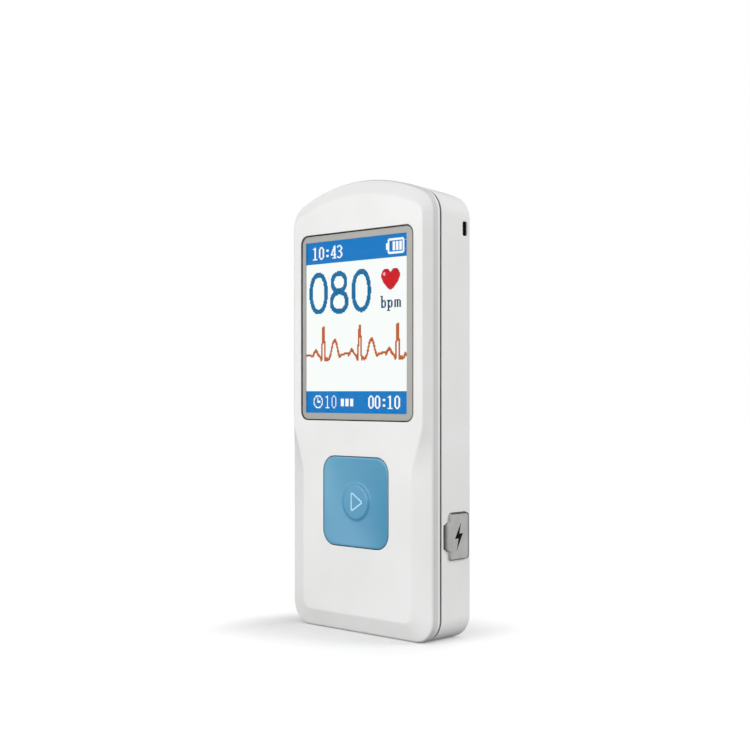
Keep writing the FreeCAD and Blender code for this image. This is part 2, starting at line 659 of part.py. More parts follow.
def make_button():
    body = new_body("measure_button")
    key = sketch_on(body, "front", "front_face", "key_outline")
    rounded_box(key, "0", "button_z", "button_size", "button_size", "button_corner")
    pad(body, key, "button_thick", "key_block")
    flange = sketch_on(body, "front", "flange_face", "flange_outline")
    rounded_box(flange, "0", "button_z", "button_size + 2 * flange_out", "button_size + 2 * flange_out",
                "button_corner + flange_out")
    pad(body, flange, "flange_thick", "flange")

    profile = sketch_on(body, "side", "0", "dish_profile")
    clear, top = "front_face - 1", "front_face + boss_sink"
    across_up = [(clear, "0"), (top, "0"), (top, "boss_radius - boss_edge"),
                 (f"{top} + boss_edge", "boss_radius"),
                 ("front_face + dish_depth", "boss_radius + boss_edge"),
                 ("front_face + dish_middle_depth", "dish_middle"), ("front_face", "dish_rim"),
                 (clear, "dish_rim")]
    outline(profile, [(across, f"button_z + {up}", None) for across, up in across_up])
    axis = profile.addGeometry(Part.LineSegment(Vector(value(clear), value("button_z"), 0),
                                                Vector(value(top), value("button_z"), 0)), True)
    fix_point(profile, axis, 1, clear, "button_z")
    fix_point(profile, axis, 2, top, "button_z")
    dish = body.newObject("PartDesign::Groove", "dish_and_boss")
    dish.Profile = (profile, [""])
    dish.ReferenceAxis = (profile, ["Axis0"])
    dish.Angle = 360
    stub = sketch_on(body, "front", "flange_back - 0.1", "stub_circle")
    circle(stub, "0", "button_z", "stub_radius")
    pad(body, stub, "stub_length + 0.1", "stub")
    keep("measure_button", body)


def make_switch():
    half = "switch_size / 2"
    spans = ("-" + half, half), (f"button_z - {half}", f"button_z + {half}")
    plate_face = "board_front - switch_body"
    well_floor = f"{plate_face} + switch_well_depth"
    block = box("switch_block", spans[0], (plate_face, "board_front"), spans[1])
    well = rod("switch_well_space", "0", "button_z", (plate_face, well_floor), "switch_well")
    keep("switch_body", cut("switch_housing", block, well))

    plate = box("switch_plate_block", spans[0], (f"{plate_face} - switch_plate", plate_face), spans[1])
    hole = rod("switch_plate_hole", "0", "button_z", (f"{plate_face} - switch_plate", plate_face),
               "plunger_radius + plunger_play")
    keep("switch_plate", cut("switch_steel_plate", plate, hole))

    foot_face = f"{plate_face} + plunger_clear"
    stem = rod("plunger_stem", "0", "button_z", ("plunger_face", f"{foot_face} + 0.05"), "plunger_radius")
    foot = rod("plunger_foot_disc", "0", "button_z", (foot_face, f"{foot_face} + plunger_foot_thick"),
               "plunger_foot")
    keep("switch_plunger", fuse("plunger", [stem, foot]))
    keep("switch_dome", rod("dome_disc", "0", "button_z", (f"{well_floor} - dome_thick", well_floor),
                            "dome_radius"))


# ---------------------------------------------------------------- board and what is on it

def make_board():
    keep("main_board", box("board", ("-board_width / 2", "board_width / 2"), ("board_front", "board_back"),
                           ("board_low", "board_high")))


def chip(name, on_back=False):
    """A square package on one face of the board, sized and placed by the cells that bear its name."""
    tall, half = f"{name}_tall", f"{name}_size / 2"
    span = ("board_back", f"board_back + {tall}") if on_back else (f"board_front - {tall}", "board_front")
    keep(name, box(name + "_block", (f"{name}_x - {half}", f"{name}_x + {half}"), span,
                   (f"{name}_z - {half}", f"{name}_z + {half}")))


def make_board_parts():
    chip("processor")
    chip("memory_chip")
    chip("ecg_amplifier", on_back=True)
    chip("charger_chip", on_back=True)
    keep("crystal", box("crystal_can", ("crystal_left", "crystal_left + crystal_long"),
                        ("board_front - crystal_tall", "board_front"),
                        ("crystal_low", "crystal_low + crystal_wide")))
    keep("buzzer", rod("buzzer_can", "buzzer_x", "buzzer_z", ("board_back", "board_back + buzzer_tall"),
                       "buzzer_radius"))
    keep("flex_connector", box("flex_connector_block", ("-flex_width / 2 - 1", "flex_width / 2 + 1"),
                               ("board_front - connector_tall", "board_front"),
                               ("flex_end - connector_deep", "flex_end")))
    keep("small_board_parts", group("small_parts", small_parts()))


def small_parts():
    """Rows of resistors and capacitors: three across the front of the board, one up its back."""
    made = []
    for row_level, row_start in ((74.6, -11), (49.6, -11), (78.2, -5)):
        for step in range(5):
            left = f"{row_start} + {step} * small_pitch"
            made.append(box(f"small_part_{len(made)}", (left, f"{left} + small_long"),
                            ("board_front - small_tall", "board_front"),
                            (row_level, f"{row_level} + small_wide")))
    for step in range(6):
        low = f"board_low + 2 + {step} * small_pitch"
        made.append(box(f"small_part_{len(made)}", ("-3 - small_wide / 2", "-3 + small_wide / 2"),
                        ("board_back", "board_back + small_tall"), (low, f"{low} + small_long")))
    return made


# ---------------------------------------------------------------- USB socket and its cover

def make_socket():
    y_span = ("port_y - socket_thick / 2", "port_y + socket_thick / 2")
    z_span = ("port_z - socket_tall / 2", "port_z + socket_tall / 2")
    case = box("socket_case", ("socket_mouth - socket_deep", "socket_mouth"), y_span, z_span)
    rounded = soften("socket_case_rounded", case, "plug_corner", Vector(1, 0, 0))
    floor, wall = "socket_mouth - socket_deep + socket_floor", "socket_wall"
    space = box("socket_space", (floor, "socket_mouth"), (f"{y_span[0]} + {wall}", f"{y_span[1]} - {wall}"),
                (f"{z_span[0]} + {wall}", f"{z_span[1]} - {wall}"))
    keep("usb_socket", cut("socket_shell", rounded, space))
    keep("usb_tongue", box("socket_tongue", (floor, "socket_mouth - tongue_back"),
                           ("port_y - tongue_thick / 2", "port_y + tongue_thick / 2"),
                           ("port_z - tongue_tall / 2", "port_z + tongue_tall / 2")))


def make_cover():
    body = new_body("usb_cover")
    plate = sketch_on(body, "side", "half_width - plate_sunk", "plate_outline")
    rounded_box(plate, "(plate_front + plate_back) / 2", "port_z", "plate_back - plate_front", "plate_tall",
                "plate_corner")
    pad(body, plate, "plate_sunk + plate_proud", "plate", towards_back=False)
    face_x = value("cover_face")
    bevel_edges(body, lambda middle: abs(middle.x - face_x) < 0.01, "plate_edge", "plate_edge_cut")
    plug = sketch_on(body, "side", "half_width - plate_sunk - plug_deep", "plug_outline")
    rounded_box(plug, "port_y", "port_z", "plug_wide", "plug_tall", "plug_corner")
    pad(body, plug, "plug_deep + 0.1", "plug", towards_back=False)
    hollow = sketch_on(body, "side", "half_width - plate_sunk - plug_deep", "plug_hollow_outline")
    rounded_box(hollow, "port_y", "port_z", "plug_wide - 2 * plug_wall", "plug_tall - 2 * plug_wall", None)
    pocket(body, hollow, "plug_deep - 0.1", "plug_hollow", reversed_way=True)
    keep("usb_cover", body)

    strap = new_body("usb_cover_strap")
    tab = sketch_on(strap, "side", "half_width", "strap_outline")
    edge = "plate_front - hinge_gap"
    half, root = "strap_tall / 2", "strap_root / 2"
    outline(tab, [("strap_front", f"port_z - {half}", "strap_corner"),
                  (f"{edge} - strap_flare", f"port_z - {half}", None),
                  (edge, f"port_z - {root}", None), (edge, f"port_z + {root}", None),
                  (f"{edge} - strap_flare", f"port_z + {half}", None),
                  ("strap_front", f"port_z + {half}", "strap_corner")])
    pad(strap, tab, "strap_thick", "strap_tab", towards_back=False)
    tail = sketch_on(strap, "side", "half_width - tail_deep", "tail_outline")
    rounded_box(tail, "strap_front + tail_thick / 2", "port_z", "tail_thick", "strap_tall", None)
    pad(strap, tail, "tail_deep + 0.1", "strap_tail", towards_back=False)
    anchor = sketch_on(strap, "side", "half_width - tail_deep", "anchor_outline")
    rounded_box(anchor, "strap_front + tail_thick / 2", "port_z", "tail_thick", "anchor_tall", None)
    pad(strap, anchor, "anchor_deep", "strap_anchor", towards_back=False)
    keep("usb_cover_strap", strap)


# ---------------------------------------------------------------- battery and electrodes

def make_battery():
    cell = box("cell_block", ("-cell_width / 2", "cell_width / 2"), ("cell_front", "battery_back"),
               ("cell_z - cell_height / 2", "cell_z + cell_height / 2"))
    keep("battery_cell", soften("cell_rounded", cell, "cell_corner", Vector(0, 0, 1)))
    low, high = "cell_z - tape_height / 2 - tape_drop", "cell_z + tape_height / 2 - tape_drop"
    keep("battery_tape", box("cell_tape", ("-tape_width / 2", "tape_width / 2"),
                             ("battery_back", "back_floor"), (low, high)))
    left, right = "plug_x - plug_width / 2", "plug_x + plug_width / 2"
    keep("battery_connector", box("connector_block", (left, right), ("board_back", "board_back + plug_thick"),
                                  ("plug_z - plug_height / 2", "plug_z + plug_height / 2")))
    wires = []
    for number, side in enumerate(("-1", "1")):
        wire = doc.addObject("Part::Cylinder", f"lead_{number}")
        wire.setExpression("Radius", bound("lead_radius"))
        wire.setExpression("Height", bound("cell_z - cell_height / 2 - plug_z - plug_height / 2"))
        wire.setExpression("Placement.Base.x", bound(f"plug_x + {side} * lead_spacing / 2"))
        wire.setExpression("Placement.Base.y", bound("cell_front + lead_inset"))
        wire.setExpression("Placement.Base.z", bound("plug_z + plug_height / 2"))
        wires.append(wire)
    keep("battery_leads", group("lead_pair", wires))


def make_electrodes():
    back_y = value("back_face")
    for name, level in (("upper_electrode", "upper_z"), ("lower_electrode", "lower_z")):
        body = new_body(name)
        face = sketch_on(body, "front", "back_face - plate_thick", name + "_outline")
        rounded_box(face, "0", level, "plate_width", "plate_height", "plate_round")
        pad(body, face, "plate_thick", name + "_plate")
        bevel_edges(body, lambda middle: abs(middle.y - back_y) < 0.01, "electrode_edge", name + "_edge")
        keep(name, body)
    pins = [rod(name, "0", level, ("board_back", "back_face - plate_thick"), "pin_radius")
            for name, level in (("upper_pin", "upper_pin_z"), ("lower_pin", "lower_pin_z"))]
    keep("contact_pins", group("pins", pins))


# ---------------------------------------------------------------- build, check and write

for make in (make_front_shell, make_back_shell, make_window, make_display, make_button, make_switch,
             make_board, make_board_parts, make_socket, make_cover, make_battery, make_electrodes):
    make()
doc.recompute()

for item in doc.Objects:
    if "Invalid" in item.State or "Error" in item.State:
        raise RuntimeError(f"{item.Label} failed: {item.State}")
for name, made in nodes.items():
    shape = made.Shape
    if shape.isNull() or not shape.isValid() or not shape.Solids:
        raise RuntimeError(f"{name} has no valid solid")

os.makedirs("parts", exist_ok=True)
for name, made in nodes.items():
    made.Shape.exportStep(f"parts/{name}.step")
    print(f"{name}: {len(made.Shape.Solids)} solid(s), {made.Shape.Volume:.1f} mm3")
print(f"{len(nodes)} nodes written")
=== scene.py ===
import math

import bmesh
import bpy
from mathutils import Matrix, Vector


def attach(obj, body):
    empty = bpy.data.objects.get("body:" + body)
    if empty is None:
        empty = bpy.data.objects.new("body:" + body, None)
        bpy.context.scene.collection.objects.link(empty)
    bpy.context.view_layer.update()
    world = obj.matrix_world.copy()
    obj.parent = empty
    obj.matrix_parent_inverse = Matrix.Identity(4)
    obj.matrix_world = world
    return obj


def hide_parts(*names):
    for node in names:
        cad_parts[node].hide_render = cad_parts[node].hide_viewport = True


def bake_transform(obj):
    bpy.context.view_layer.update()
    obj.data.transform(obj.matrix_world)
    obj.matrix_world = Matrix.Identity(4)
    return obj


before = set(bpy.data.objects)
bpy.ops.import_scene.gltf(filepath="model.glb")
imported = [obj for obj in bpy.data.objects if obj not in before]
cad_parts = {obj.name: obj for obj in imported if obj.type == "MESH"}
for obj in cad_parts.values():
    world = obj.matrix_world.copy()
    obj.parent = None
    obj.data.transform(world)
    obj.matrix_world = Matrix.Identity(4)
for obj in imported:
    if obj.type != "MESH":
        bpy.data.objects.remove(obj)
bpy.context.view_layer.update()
mm = 0.001  # sizes below are millimetres, the scene is metres
support = 0.12  # the strip beside each rounding, which keeps the faces next to it flat
print("frame loaded:", len(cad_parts), "nodes")


def inScene(name, content):
    holder = bpy.data.objects.new(name, content)
    bpy.context.scene.collection.objects.link(holder)
    return holder


def makeMesh(name, points, faces, smooth=True):
    mesh = bpy.data.meshes.new(name)
    mesh.from_pydata([Vector(point) * mm for point in points], [], faces)
    mesh.update()
    mesh.polygons.foreach_set("use_smooth", [smooth] * len(mesh.polygons))
    return inScene(name, mesh)


def loftedPiece(name, rings, closed=False, sharp=None):
    # rings of equal length, each a closed loop; the ends are capped, or joined where closed. With a sharp
    # angle, in degrees, the faces are smooth between the edges that turn more
    count, levels = len(rings[0]), len(rings)
    points = [point for ring in rings for point in ring]
    faces = []
    for level in range(levels if closed else levels - 1):
        low, high = level * count, (level + 1) % levels * count
        for step in range(count):
            after = (step + 1) % count
            faces.append((low + step, low + after, high + after, high + step))
    if not closed:
        faces += [tuple(range(count))[::-1], tuple(range(len(points) - count, len(points)))]
    piece = makeMesh(name, points, faces, smooth=sharp is not None)
    work = bmesh.new()
    work.from_mesh(piece.data)
    bmesh.ops.remove_doubles(work, verts=work.verts, dist=1e-7)
    bmesh.ops.recalc_face_normals(work, faces=work.faces)  # outwards
    work.to_mesh(piece.data)
    work.free()
    if sharp:
        piece.data.set_sharp_from_angle(angle=math.radians(sharp))
    return piece


def neighbours(loop):
    return zip(loop, loop[1:] + loop[:1])


def shares(steps, first=0):
    return [step / steps for step in range(first, steps + 1)]


def polar(reach, turn):
    return reach * math.cos(turn), reach * math.sin(turn)


def circle(count):
    return [2 * math.pi * step / count for step in range(count)]


def bakeModifiers(piece):
    # the evaluated mesh takes the place of the mesh with modifiers
    depsgraph = bpy.context.evaluated_depsgraph_get()
    depsgraph.update()
    finished = bpy.data.meshes.new_from_object(piece.evaluated_get(depsgraph), depsgraph=depsgraph)
    finished.name = piece.name
    piece.modifiers.clear()
    piece.data = finished


def dress(piece, body, slot, look=None, node=None):
    if look:
        piece.data.materials.clear()
        piece.data.materials.append(finish[look])
    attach(piece, body)
    if node:
        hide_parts(node)


# materials, all on object coordinates

def feed(node, sockets):
    # each socket takes a value or the output of another node
    for socket, source in sockets.items():
        if isinstance(source, bpy.types.NodeSocket):
            node.id_data.links.new(source, node.inputs[socket])
        else:
            node.inputs[socket].default_value = source
    return node


def addNode(tree, kind, sockets, **settings):
    node = tree.nodes.new(kind)
    for setting, level in settings.items():
        setattr(node, setting, level)
    return feed(node, sockets)


def newMaterial(name):
    material = bpy.data.materials.new(name)
    material.use_nodes = True
    return material, material.node_tree, material.node_tree.nodes["Principled BSDF"]


def placeOnPiece(tree):
    return addNode(tree, "ShaderNodeTexCoord", {}).outputs["Object"]


def objectNoise(tree, scale, detail, stretch=(1, 1, 1)):
    fit = addNode(tree, "ShaderNodeMapping", {"Vector": placeOnPiece(tree), "Scale": stretch})
    return addNode(tree, "ShaderNodeTexNoise", {"Vector": fit.outputs["Vector"], "Scale": scale,
                                                "Detail": detail}).outputs["Fac"]


def mapped(tree, source, span, levels=(0, 1), way="LINEAR"):
    sockets = {"Value": source, "From Min": span[0], "From Max": span[1], "To Min": levels[0],
               "To Max": levels[1]}
    return addNode(tree, "ShaderNodeMapRange", sockets, interpolation_type=way).outputs["Result"]


def spread(tree, noise, low, high):
    # noise gathers round its middle, so only that part of it is used
    return mapped(tree, noise, (0.3, 0.7), (low, high))


def mixed(tree, first, second, share, kind="RGBA", way="MIX"):
    return addNode(tree, "ShaderNodeMix", {"A": first, "B": second, "Factor": share}, data_type=kind,
                   blend_type=way).outputs["Result"]


def finishMaterial(name, darker, lighter, rough, mottle, grain, stretch, sheen, metal):
    material, tree, shader = newMaterial(name)
    drift = objectNoise(tree, *mottle, stretch)
    scale, height, strength = grain
    skin = objectNoise(tree, scale, 3.0, stretch)
    bump = addNode(tree, "ShaderNodeBump", {"Height": skin, "Distance": height * mm, "Strength": strength})
    feed(shader, {"Base Color": mixed(tree, (*darker, 1), (*lighter, 1), spread(tree, drift, 0, 1)),
                  "Roughness": spread(tree, skin, *rough), "Normal": bump.outputs["Normal"],
                  "Specular IOR Level": sheen, "Metallic": metal})
    return material


looks = {  # darker and lighter colour, roughness, (scale, detail) of the colour's drift,
    # and (scale, height, strength) of the skin's grain
    "whiteAbs": ((0.80, 0.80, 0.79), (0.85, 0.85, 0.845), (0.36, 0.46), (60, 2), (5200, 0.004, 0.25)),
    "warmGreyPrint": ((0.325, 0.314, 0.288), (0.38, 0.369, 0.342), (0.34, 0.46), (45, 2), (3800, 0.003, 0.2)),
    "satinBlue": ((0.113, 0.372, 0.560), (0.128, 0.402, 0.592), (0.28, 0.36), (90, 2), (6500, 0.003, 0.2)),
    "paleBluePrint": ((0.40, 0.72, 0.90), (0.46, 0.78, 0.95), (0.4, 0.5), (400, 2), (6000, 0.002, 0.2)),
    "softGreyRubber": ((0.43, 0.43, 0.425), (0.50, 0.50, 0.495), (0.55, 0.7), (300, 3), (4200, 0.008, 0.35)),
    "blackPrint": ((0.004, 0.004, 0.004), (0.01, 0.01, 0.01), (0.6, 0.75), (500, 2), (5000, 0.002, 0.2)),
    # the next grey is painted shade, for the line along the port cover's rim
    "rimGrey": ((0.035, 0.035, 0.035), (0.06, 0.06, 0.06), (0.6, 0.75), (300, 2), (4200, 0.004, 0.3)),
    "brushedSteel": ((0.60, 0.60, 0.59), (0.70, 0.70, 0.69), (0.26, 0.36), (3600, 2), (4200, 0.002, 0.12)),
    "platedSteel": ((0.52, 0.52, 0.50), (0.64, 0.64, 0.62), (0.2, 0.34), (250, 3), (1800, 0.003, 0.25)),
    "goldPlate": ((0.70, 0.50, 0.18), (0.83, 0.63, 0.27), (0.18, 0.3), (300, 2), (2500, 0.002, 0.2)),
    "greenSolderMask": ((0.006, 0.085, 0.03), (0.02, 0.17, 0.06), (0.25, 0.4), (420, 1), (900, 0.012, 0.4)),
    "blackEpoxy": ((0.018, 0.018, 0.02), (0.032, 0.032, 0.034), (0.5, 0.68), (600, 3), (5200, 0.006, 0.4)),
    "blackMoulding": ((0.015, 0.015, 0.015), (0.028, 0.028, 0.028), (0.4, 0.55), (300, 2), (4800, 0.004, 0.3)),
    "creamNylon": ((0.62, 0.57, 0.43), (0.72, 0.68, 0.54), (0.4, 0.55), (400, 2), (4200, 0.004, 0.3)),
    "firedCeramic": ((0.32, 0.25, 0.18), (0.50, 0.42, 0.32), (0.45, 0.6), (900, 2), (5200, 0.004, 0.3)),
    "amberFilm": ((0.45, 0.20, 0.03), (0.62, 0.31, 0.06), (0.25, 0.4), (350, 2), (2200, 0.004, 0.25)),
    "blackFoam": ((0.02, 0.02, 0.02), (0.045, 0.045, 0.045), (0.8, 0.95), (1500, 3), (2600, 0.03, 0.6)),
    "whiteTray": ((0.78, 0.78, 0.76), (0.86, 0.86, 0.84), (0.5, 0.6), (80, 2), (3500, 0.004, 0.25)),
    "foilPouch": ((0.55, 0.56, 0.58), (0.70, 0.71, 0.73), (0.3, 0.5), (160, 4), (420, 0.05, 0.4)),
    "redInsulation": ((0.42, 0.02, 0.015), (0.55, 0.035, 0.025), (0.45, 0.6), (500, 2), (3000, 0.005, 0.3)),
    # the next black is painted shade, for the dark rings in the gaps
    "gapBlack": ((0.008, 0.008, 0.008), (0.018, 0.018, 0.018), (0.85, 0.95), (900, 2), (2600, 0.004, 0.2)),
    "displayGlass": ((0.62, 0.66, 0.68), (0.70, 0.74, 0.76), (0.12, 0.2), (40, 1), (900, 0.001, 0.1)),
}
stretches = {"brushedSteel": (0.02, 1, 1), "greenSolderMask": (1, 1, 0.25), "amberFilm": (0.1, 1, 1)}
sheens = {"whiteAbs": 0.42, "softGreyRubber": 0.3, "blackPrint": 0.1, "rimGrey": 0.1, "gapBlack": 0.1}
metals = {"brushedSteel": 1.0, "platedSteel": 1.0, "goldPlate": 1.0, "foilPouch": 0.8}
finish = {name: finishMaterial(name, *look, stretches.get(name, (1, 1, 1)), sheens.get(name, 0.5),
                               metals.get(name, 0.0)) for name, look in looks.items()}


def alongAxis(tree, axis):
    return addNode(tree, "ShaderNodeSeparateXYZ", {"Vector": placeOnPiece(tree)}).outputs[axis]


def multiplyColour(tree, tint, share):
    shader = tree.nodes["Principled BSDF"]
    colour = shader.inputs["Base Color"].links[0].from_socket
    feed(shader, {"Base Color": mixed(tree, colour, tint, share, way="MULTIPLY")})


def paintedShadeBand(tree, low, high, shade):
    # painted shade: the colour is darkened along the strip between two depths, standing in for shade on the
    # front shell's wall
    ramps = [mapped(tree, alongAxis(tree, "Y"), (start * mm, end * mm), way="SMOOTHSTEP")
             for start, end in ((low - 0.25, low + 0.1), (high + 0.12, high - 0.12))]
    both = addNode(tree, "ShaderNodeMath", {0: ramps[0], 1: ramps[1]}, operation="MULTIPLY")
    multiplyColour(tree, (shade, shade, shade, 1), both.outputs["Value"])


def tintAlong(tree, axis, stops):
    # multiplies the colour by a scale of tints that runs along one axis
    low, high = stops[0][0], stops[-1][0]
    share = mapped(tree, alongAxis(tree, axis), (low * mm, high * mm))
    scale = addNode(tree, "ShaderNodeValToRGB", {"Fac": share})
    marks = scale.color_ramp.elements
    marks.remove(marks[1])
    for index, (level, tint) in enumerate(stops):
        mark = marks[0] if index == 0 else marks.new((level - low) / (high - low))
        mark.color = (*tint, 1)
    multiplyColour(tree, scale.outputs["Color"], 1.0)


# painted shade on the white moulding, along the front shell's wall strip behind the bevel
paintedShadeBand(finish["whiteAbs"].node_tree, -5.42, -4.2, 0.78)
# painted shade: the soft rubber darkens towards the tab's tip, standing in for the shade of the slot it dips
# into
tintAlong(finish["softGreyRubber"].node_tree, "Y",
          [(y, (grey, grey, grey)) for y, grey in ((-2.35, 0.22), (-2.15, 0.33), (-1.87, 0.62), (-1.6, 0.9),
                                                   (-1.2, 1.0))])
# painted sheen and shade: the key is paler to the left, standing in for the reflection on its dish, and darker
# to the right
tintAlong(finish["satinBlue"].node_tree, "X",
          [(-9.9, (0.97, 0.96, 0.96)), (0, (0.88, 0.90, 0.945)), (9.1, (0.58, 0.78, 0.835)),
           (9.9, (0.48, 0.69, 0.76))])
# painted shade: the key is darker towards its bottom, holding back the light its dish catches there
tintAlong(finish["satinBlue"].node_tree, "Z",
          [(19.2, (0.80, 0.89, 0.93)), (24, (0.80, 0.89, 0.93)), (30, (0.90, 0.96, 0.98)),
           (36, (1.0, 1.0, 1.0)), (39, (1.0, 1.0, 1.0))])


def makeCoverGlass():
    material, tree, shader = newMaterial("coverGlass")
    wipe = objectNoise(tree, 35, 3.0, (1, 1, 0.4))
    feed(shader, {"Base Color": (0.97, 0.985, 0.985, 1), "Transmission Weight": 1.0,
                  "IOR": 1.08,  # a coated glass throws back little light
                  "Roughness": spread(tree, wipe, 0.0, 0.04)})
    return material


def makeLitPicture():
    # each cell of the picture carries its own colour
    material, tree, shader = newMaterial("litPicture")
    cell = addNode(tree, "ShaderNodeAttribute", {}, attribute_name="cellColour")
    feed(shader, {"Base Color": (0.02, 0.02, 0.02, 1), "Specular IOR Level": 0.0, "Emission Strength": 1.0,
                  "Emission Color": cell.outputs["Color"],
                  "Roughness": spread(tree, objectNoise(tree, 30, 1.0), 0.5, 0.6)})
    return material


finish["coverGlass"] = makeCoverGlass()
finish["litPicture"] = makeLitPicture()
print("materials ready")

# finishes of the carried-over nodes
nodeFinishes = {
    "coverGlass": "display_window", "blackFoam": "window_tape lcd_tape battery_tape",
    "displayGlass": "lcd_panel", "whiteTray": "lcd_backlight", "amberFilm": "lcd_flex",
    "blackMoulding": "switch_body switch_plunger buzzer usb_tongue",
    "platedSteel": "switch_plate switch_dome crystal usb_socket", "greenSolderMask": "main_board",
    "blackEpoxy": "processor memory_chip ecg_amplifier charger_chip",
    "creamNylon": "flex_connector battery_connector", "firedCeramic": "small_board_parts",
    "foilPouch": "battery_cell", "redInsulation": "battery_leads", "goldPlate": "contact_pins",
}
for look, dressedNodes in nodeFinishes.items():
    for dressedNode in dressedNodes.split():
        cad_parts[dressedNode].data.materials.clear()
        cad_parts[dressedNode].data.materials.append(finish[look])

# outlines of the housing, all with the same number of points
housing = {
    "halfWidth": 21.5, "height": 100.0, "crown": 45.0, "topCorner": 5.5, "baseCorner": 5.3,
    "front": -7.2, "shoulder": -5.6, "shoulderInset": 0.22, "foot": -5.2,
    "seamFront": -3.53, "seamBack": -3.11, "backBevel": 6.3, "back": 7.2,
    "base": 12, "corner": 14, "side": 6, "waist": 10, "bow": 28,  # steps along each stretch
}
raisedPanel = {
    "halfTop": 19.7, "halfLow": 16.5, "base": 4.1, "peak": 96.85, "baseCorner": 2.3, "topCorner": 2.6,
    "waistLow": 36.2, "waistHigh": 45.6, "lowRound": 10.0, "highRound": 7.0, "split": 1.3,
}


def arcPoints(centre, radius, start, end, steps):
    turns = [start + (end - start) * step / steps for step in range(steps + 1)]
    return [(centre[0] + radius * math.cos(turn), centre[1] + radius * math.sin(turn)) for turn in turns]


def linePoints(start, end, steps):
    return [(start[0] + (end[0] - start[0]) * step / steps, start[1] + (end[1] - start[1]) * step / steps)
            for step in range(steps + 1)]


def wholeOutline(runs):
    # the runs go up the right side, from the middle of the base to the middle of the crown,
    # and neighbours share their end points
    half = list(runs[0])
    for run in runs[1:]:
        half += run[1:]
    return half + [(-x, z) for x, z in reversed(half[1:-1])]


def bowedCorner(half, peak, corner, inset):
    crown = housing["crown"]
    bowZ = peak - crown
    centre = (half - corner, bowZ + math.sqrt((crown - corner) ** 2 - (half - corner) ** 2))
    lean = math.atan2(centre[1] - bowZ, centre[0])
    return [arcPoints(centre, corner - inset, 0, lean, housing["corner"]),
            arcPoints((0, bowZ), crown - inset, lean, math.pi / 2, housing["bow"])], centre[1]


def bodyOutline(inset):
    half, low = housing["halfWidth"], housing["baseCorner"]
    top, topZ = bowedCorner(half, housing["height"], housing["topCorner"], inset)
    across, split = half - inset, raisedPanel["split"]
    levels = [low, raisedPanel["waistLow"] - split, raisedPanel["waistLow"] + split,
              raisedPanel["waistHigh"] - split, raisedPanel["waistHigh"] + split, topZ]
    pieces = [linePoints((0, inset), (half - low, inset), housing["base"]),
              arcPoints((half - low, low), low - inset, -math.pi / 2, 0, housing["corner"])]
    for place, steps in enumerate(("side", "waist", "side", "waist", "side")):
        pieces.append(linePoints((across, levels[place]), (across, levels[place + 1]), housing[steps]))
    return wholeOutline(pieces + top)


def roundOff(before, corner, after, radius, steps, out=0.0):
    # an arc in place of a corner, then moved out
    back, ahead = (before - corner).normalized(), (after - corner).normalized()
    half = math.acos(back.dot(ahead)) / 2
    centre = corner + (back + ahead).normalized() * radius / math.sin(half)
    reach = (corner + back * radius / math.tan(half) - centre) * ((radius + out) / radius)
    sweep = math.pi - 2 * half
    if back.x * ahead.y > back.y * ahead.x:
        sweep = -sweep
    points = []
    for turn in (sweep * share for share in shares(steps)):
        points.append((centre.x + reach.x * math.cos(turn) - reach.y * math.sin(turn),
                       centre.y + reach.x * math.sin(turn) + reach.y * math.cos(turn)))
    return points


def panelOutline():
    size = raisedPanel
    top, topZ = bowedCorner(size["halfTop"], size["peak"], size["topCorner"], 0)
    spots = [Vector(spot) for spot in ((0, size["base"]), (size["halfLow"], size["base"]),
                                       (size["halfLow"], size["waistLow"]),
                                       (size["halfTop"], size["waistHigh"]), (size["halfTop"], topZ))]
    base = roundOff(*spots[0:3], size["baseCorner"], housing["corner"])
    low = roundOff(*spots[1:4], size["lowRound"], housing["waist"])
    high = roundOff(*spots[2:5], size["highRound"], housing["waist"])
    return wholeOutline([linePoints(spots[0], base[0], housing["base"]), base,
                         linePoints(base[-1], low[0], housing["side"]), low,
                         linePoints(low[-1], high[0], housing["side"]), high,
                         linePoints(high[-1], spots[4], housing["side"])] + top)


def outlineDepth(x, z):
    # how far a point lies inside the housing's outline
    across = abs(x)
    low, corner, crown = housing["baseCorner"], housing["topCorner"], housing["crown"]
    bowZ = housing["height"] - crown
    if z < low and across > housing["halfWidth"] - low:
        return low - math.hypot(across - housing["halfWidth"] + low, low - z)
    middle = housing["halfWidth"] - corner
    middleZ = bowZ + math.sqrt((crown - corner) ** 2 - middle ** 2)
    if across > middle and z > middleZ and (z - bowZ) * middle < across * (middleZ - bowZ) + 1e-9:
        return corner - math.hypot(across - middle, z - middleZ)
    return min(housing["halfWidth"] - across, z, crown - math.hypot(across, z - bowZ))


def boxOutline(middle, width, height, corner, out=0.0):
    # a rounded box, grown by out on every side
    corner = max(corner + out, 0.02)
    halfA, halfB = width / 2 + out - corner, height / 2 + out - corner
    points = []
    for quarter, (signA, signB) in enumerate(((1, -1), (1, 1), (-1, 1), (-1, -1))):
        start = (quarter - 1) * math.pi / 2
        points += arcPoints((middle[0] + signA * halfA, middle[1] + signB * halfB), corner, start,
                            start + math.pi / 2, 8)
    return points


# skins of the two shells; their insides come over from the solids
openings = {  # middle, width, height and corner rounding
    "window": ((-0.1, 67.9), 34.5, 42.0, 2.05), "key": ((0, 29.1), 20.1, 20.1, 3.55),
    "port": ((2.325, 22.55), 6.05, 10.2, 0.8), "strap": ((-1.975, 22.55), 0.91, 5.16, 0.02),
    "sideEye": ((4.65, 88.45), 1.5, 3.1, 0.35), "backEye": ((18.15, 88.45), 1.5, 3.1, 0.02),
    "upperPlate": ((0, 83.4), 26.2, 13.2, 3.1), "lowerPlate": ((0, 21.6), 26.2, 13.2, 3.1),
}


def bridge(work, first, second, wanted=lambda step: True):
    for step, ((a, b), (c, d)) in enumerate(zip(neighbours(first), neighbours(second))):
        if wanted(step):
            work.faces.new((a, b, d, c))


def bridgeAll(work, rings):
    made = [[work.verts.new(Vector(point) * mm) for point in ring] for ring in rings]
    for first, second in zip(made, made[1:]):
        bridge(work, first, second)
    return made


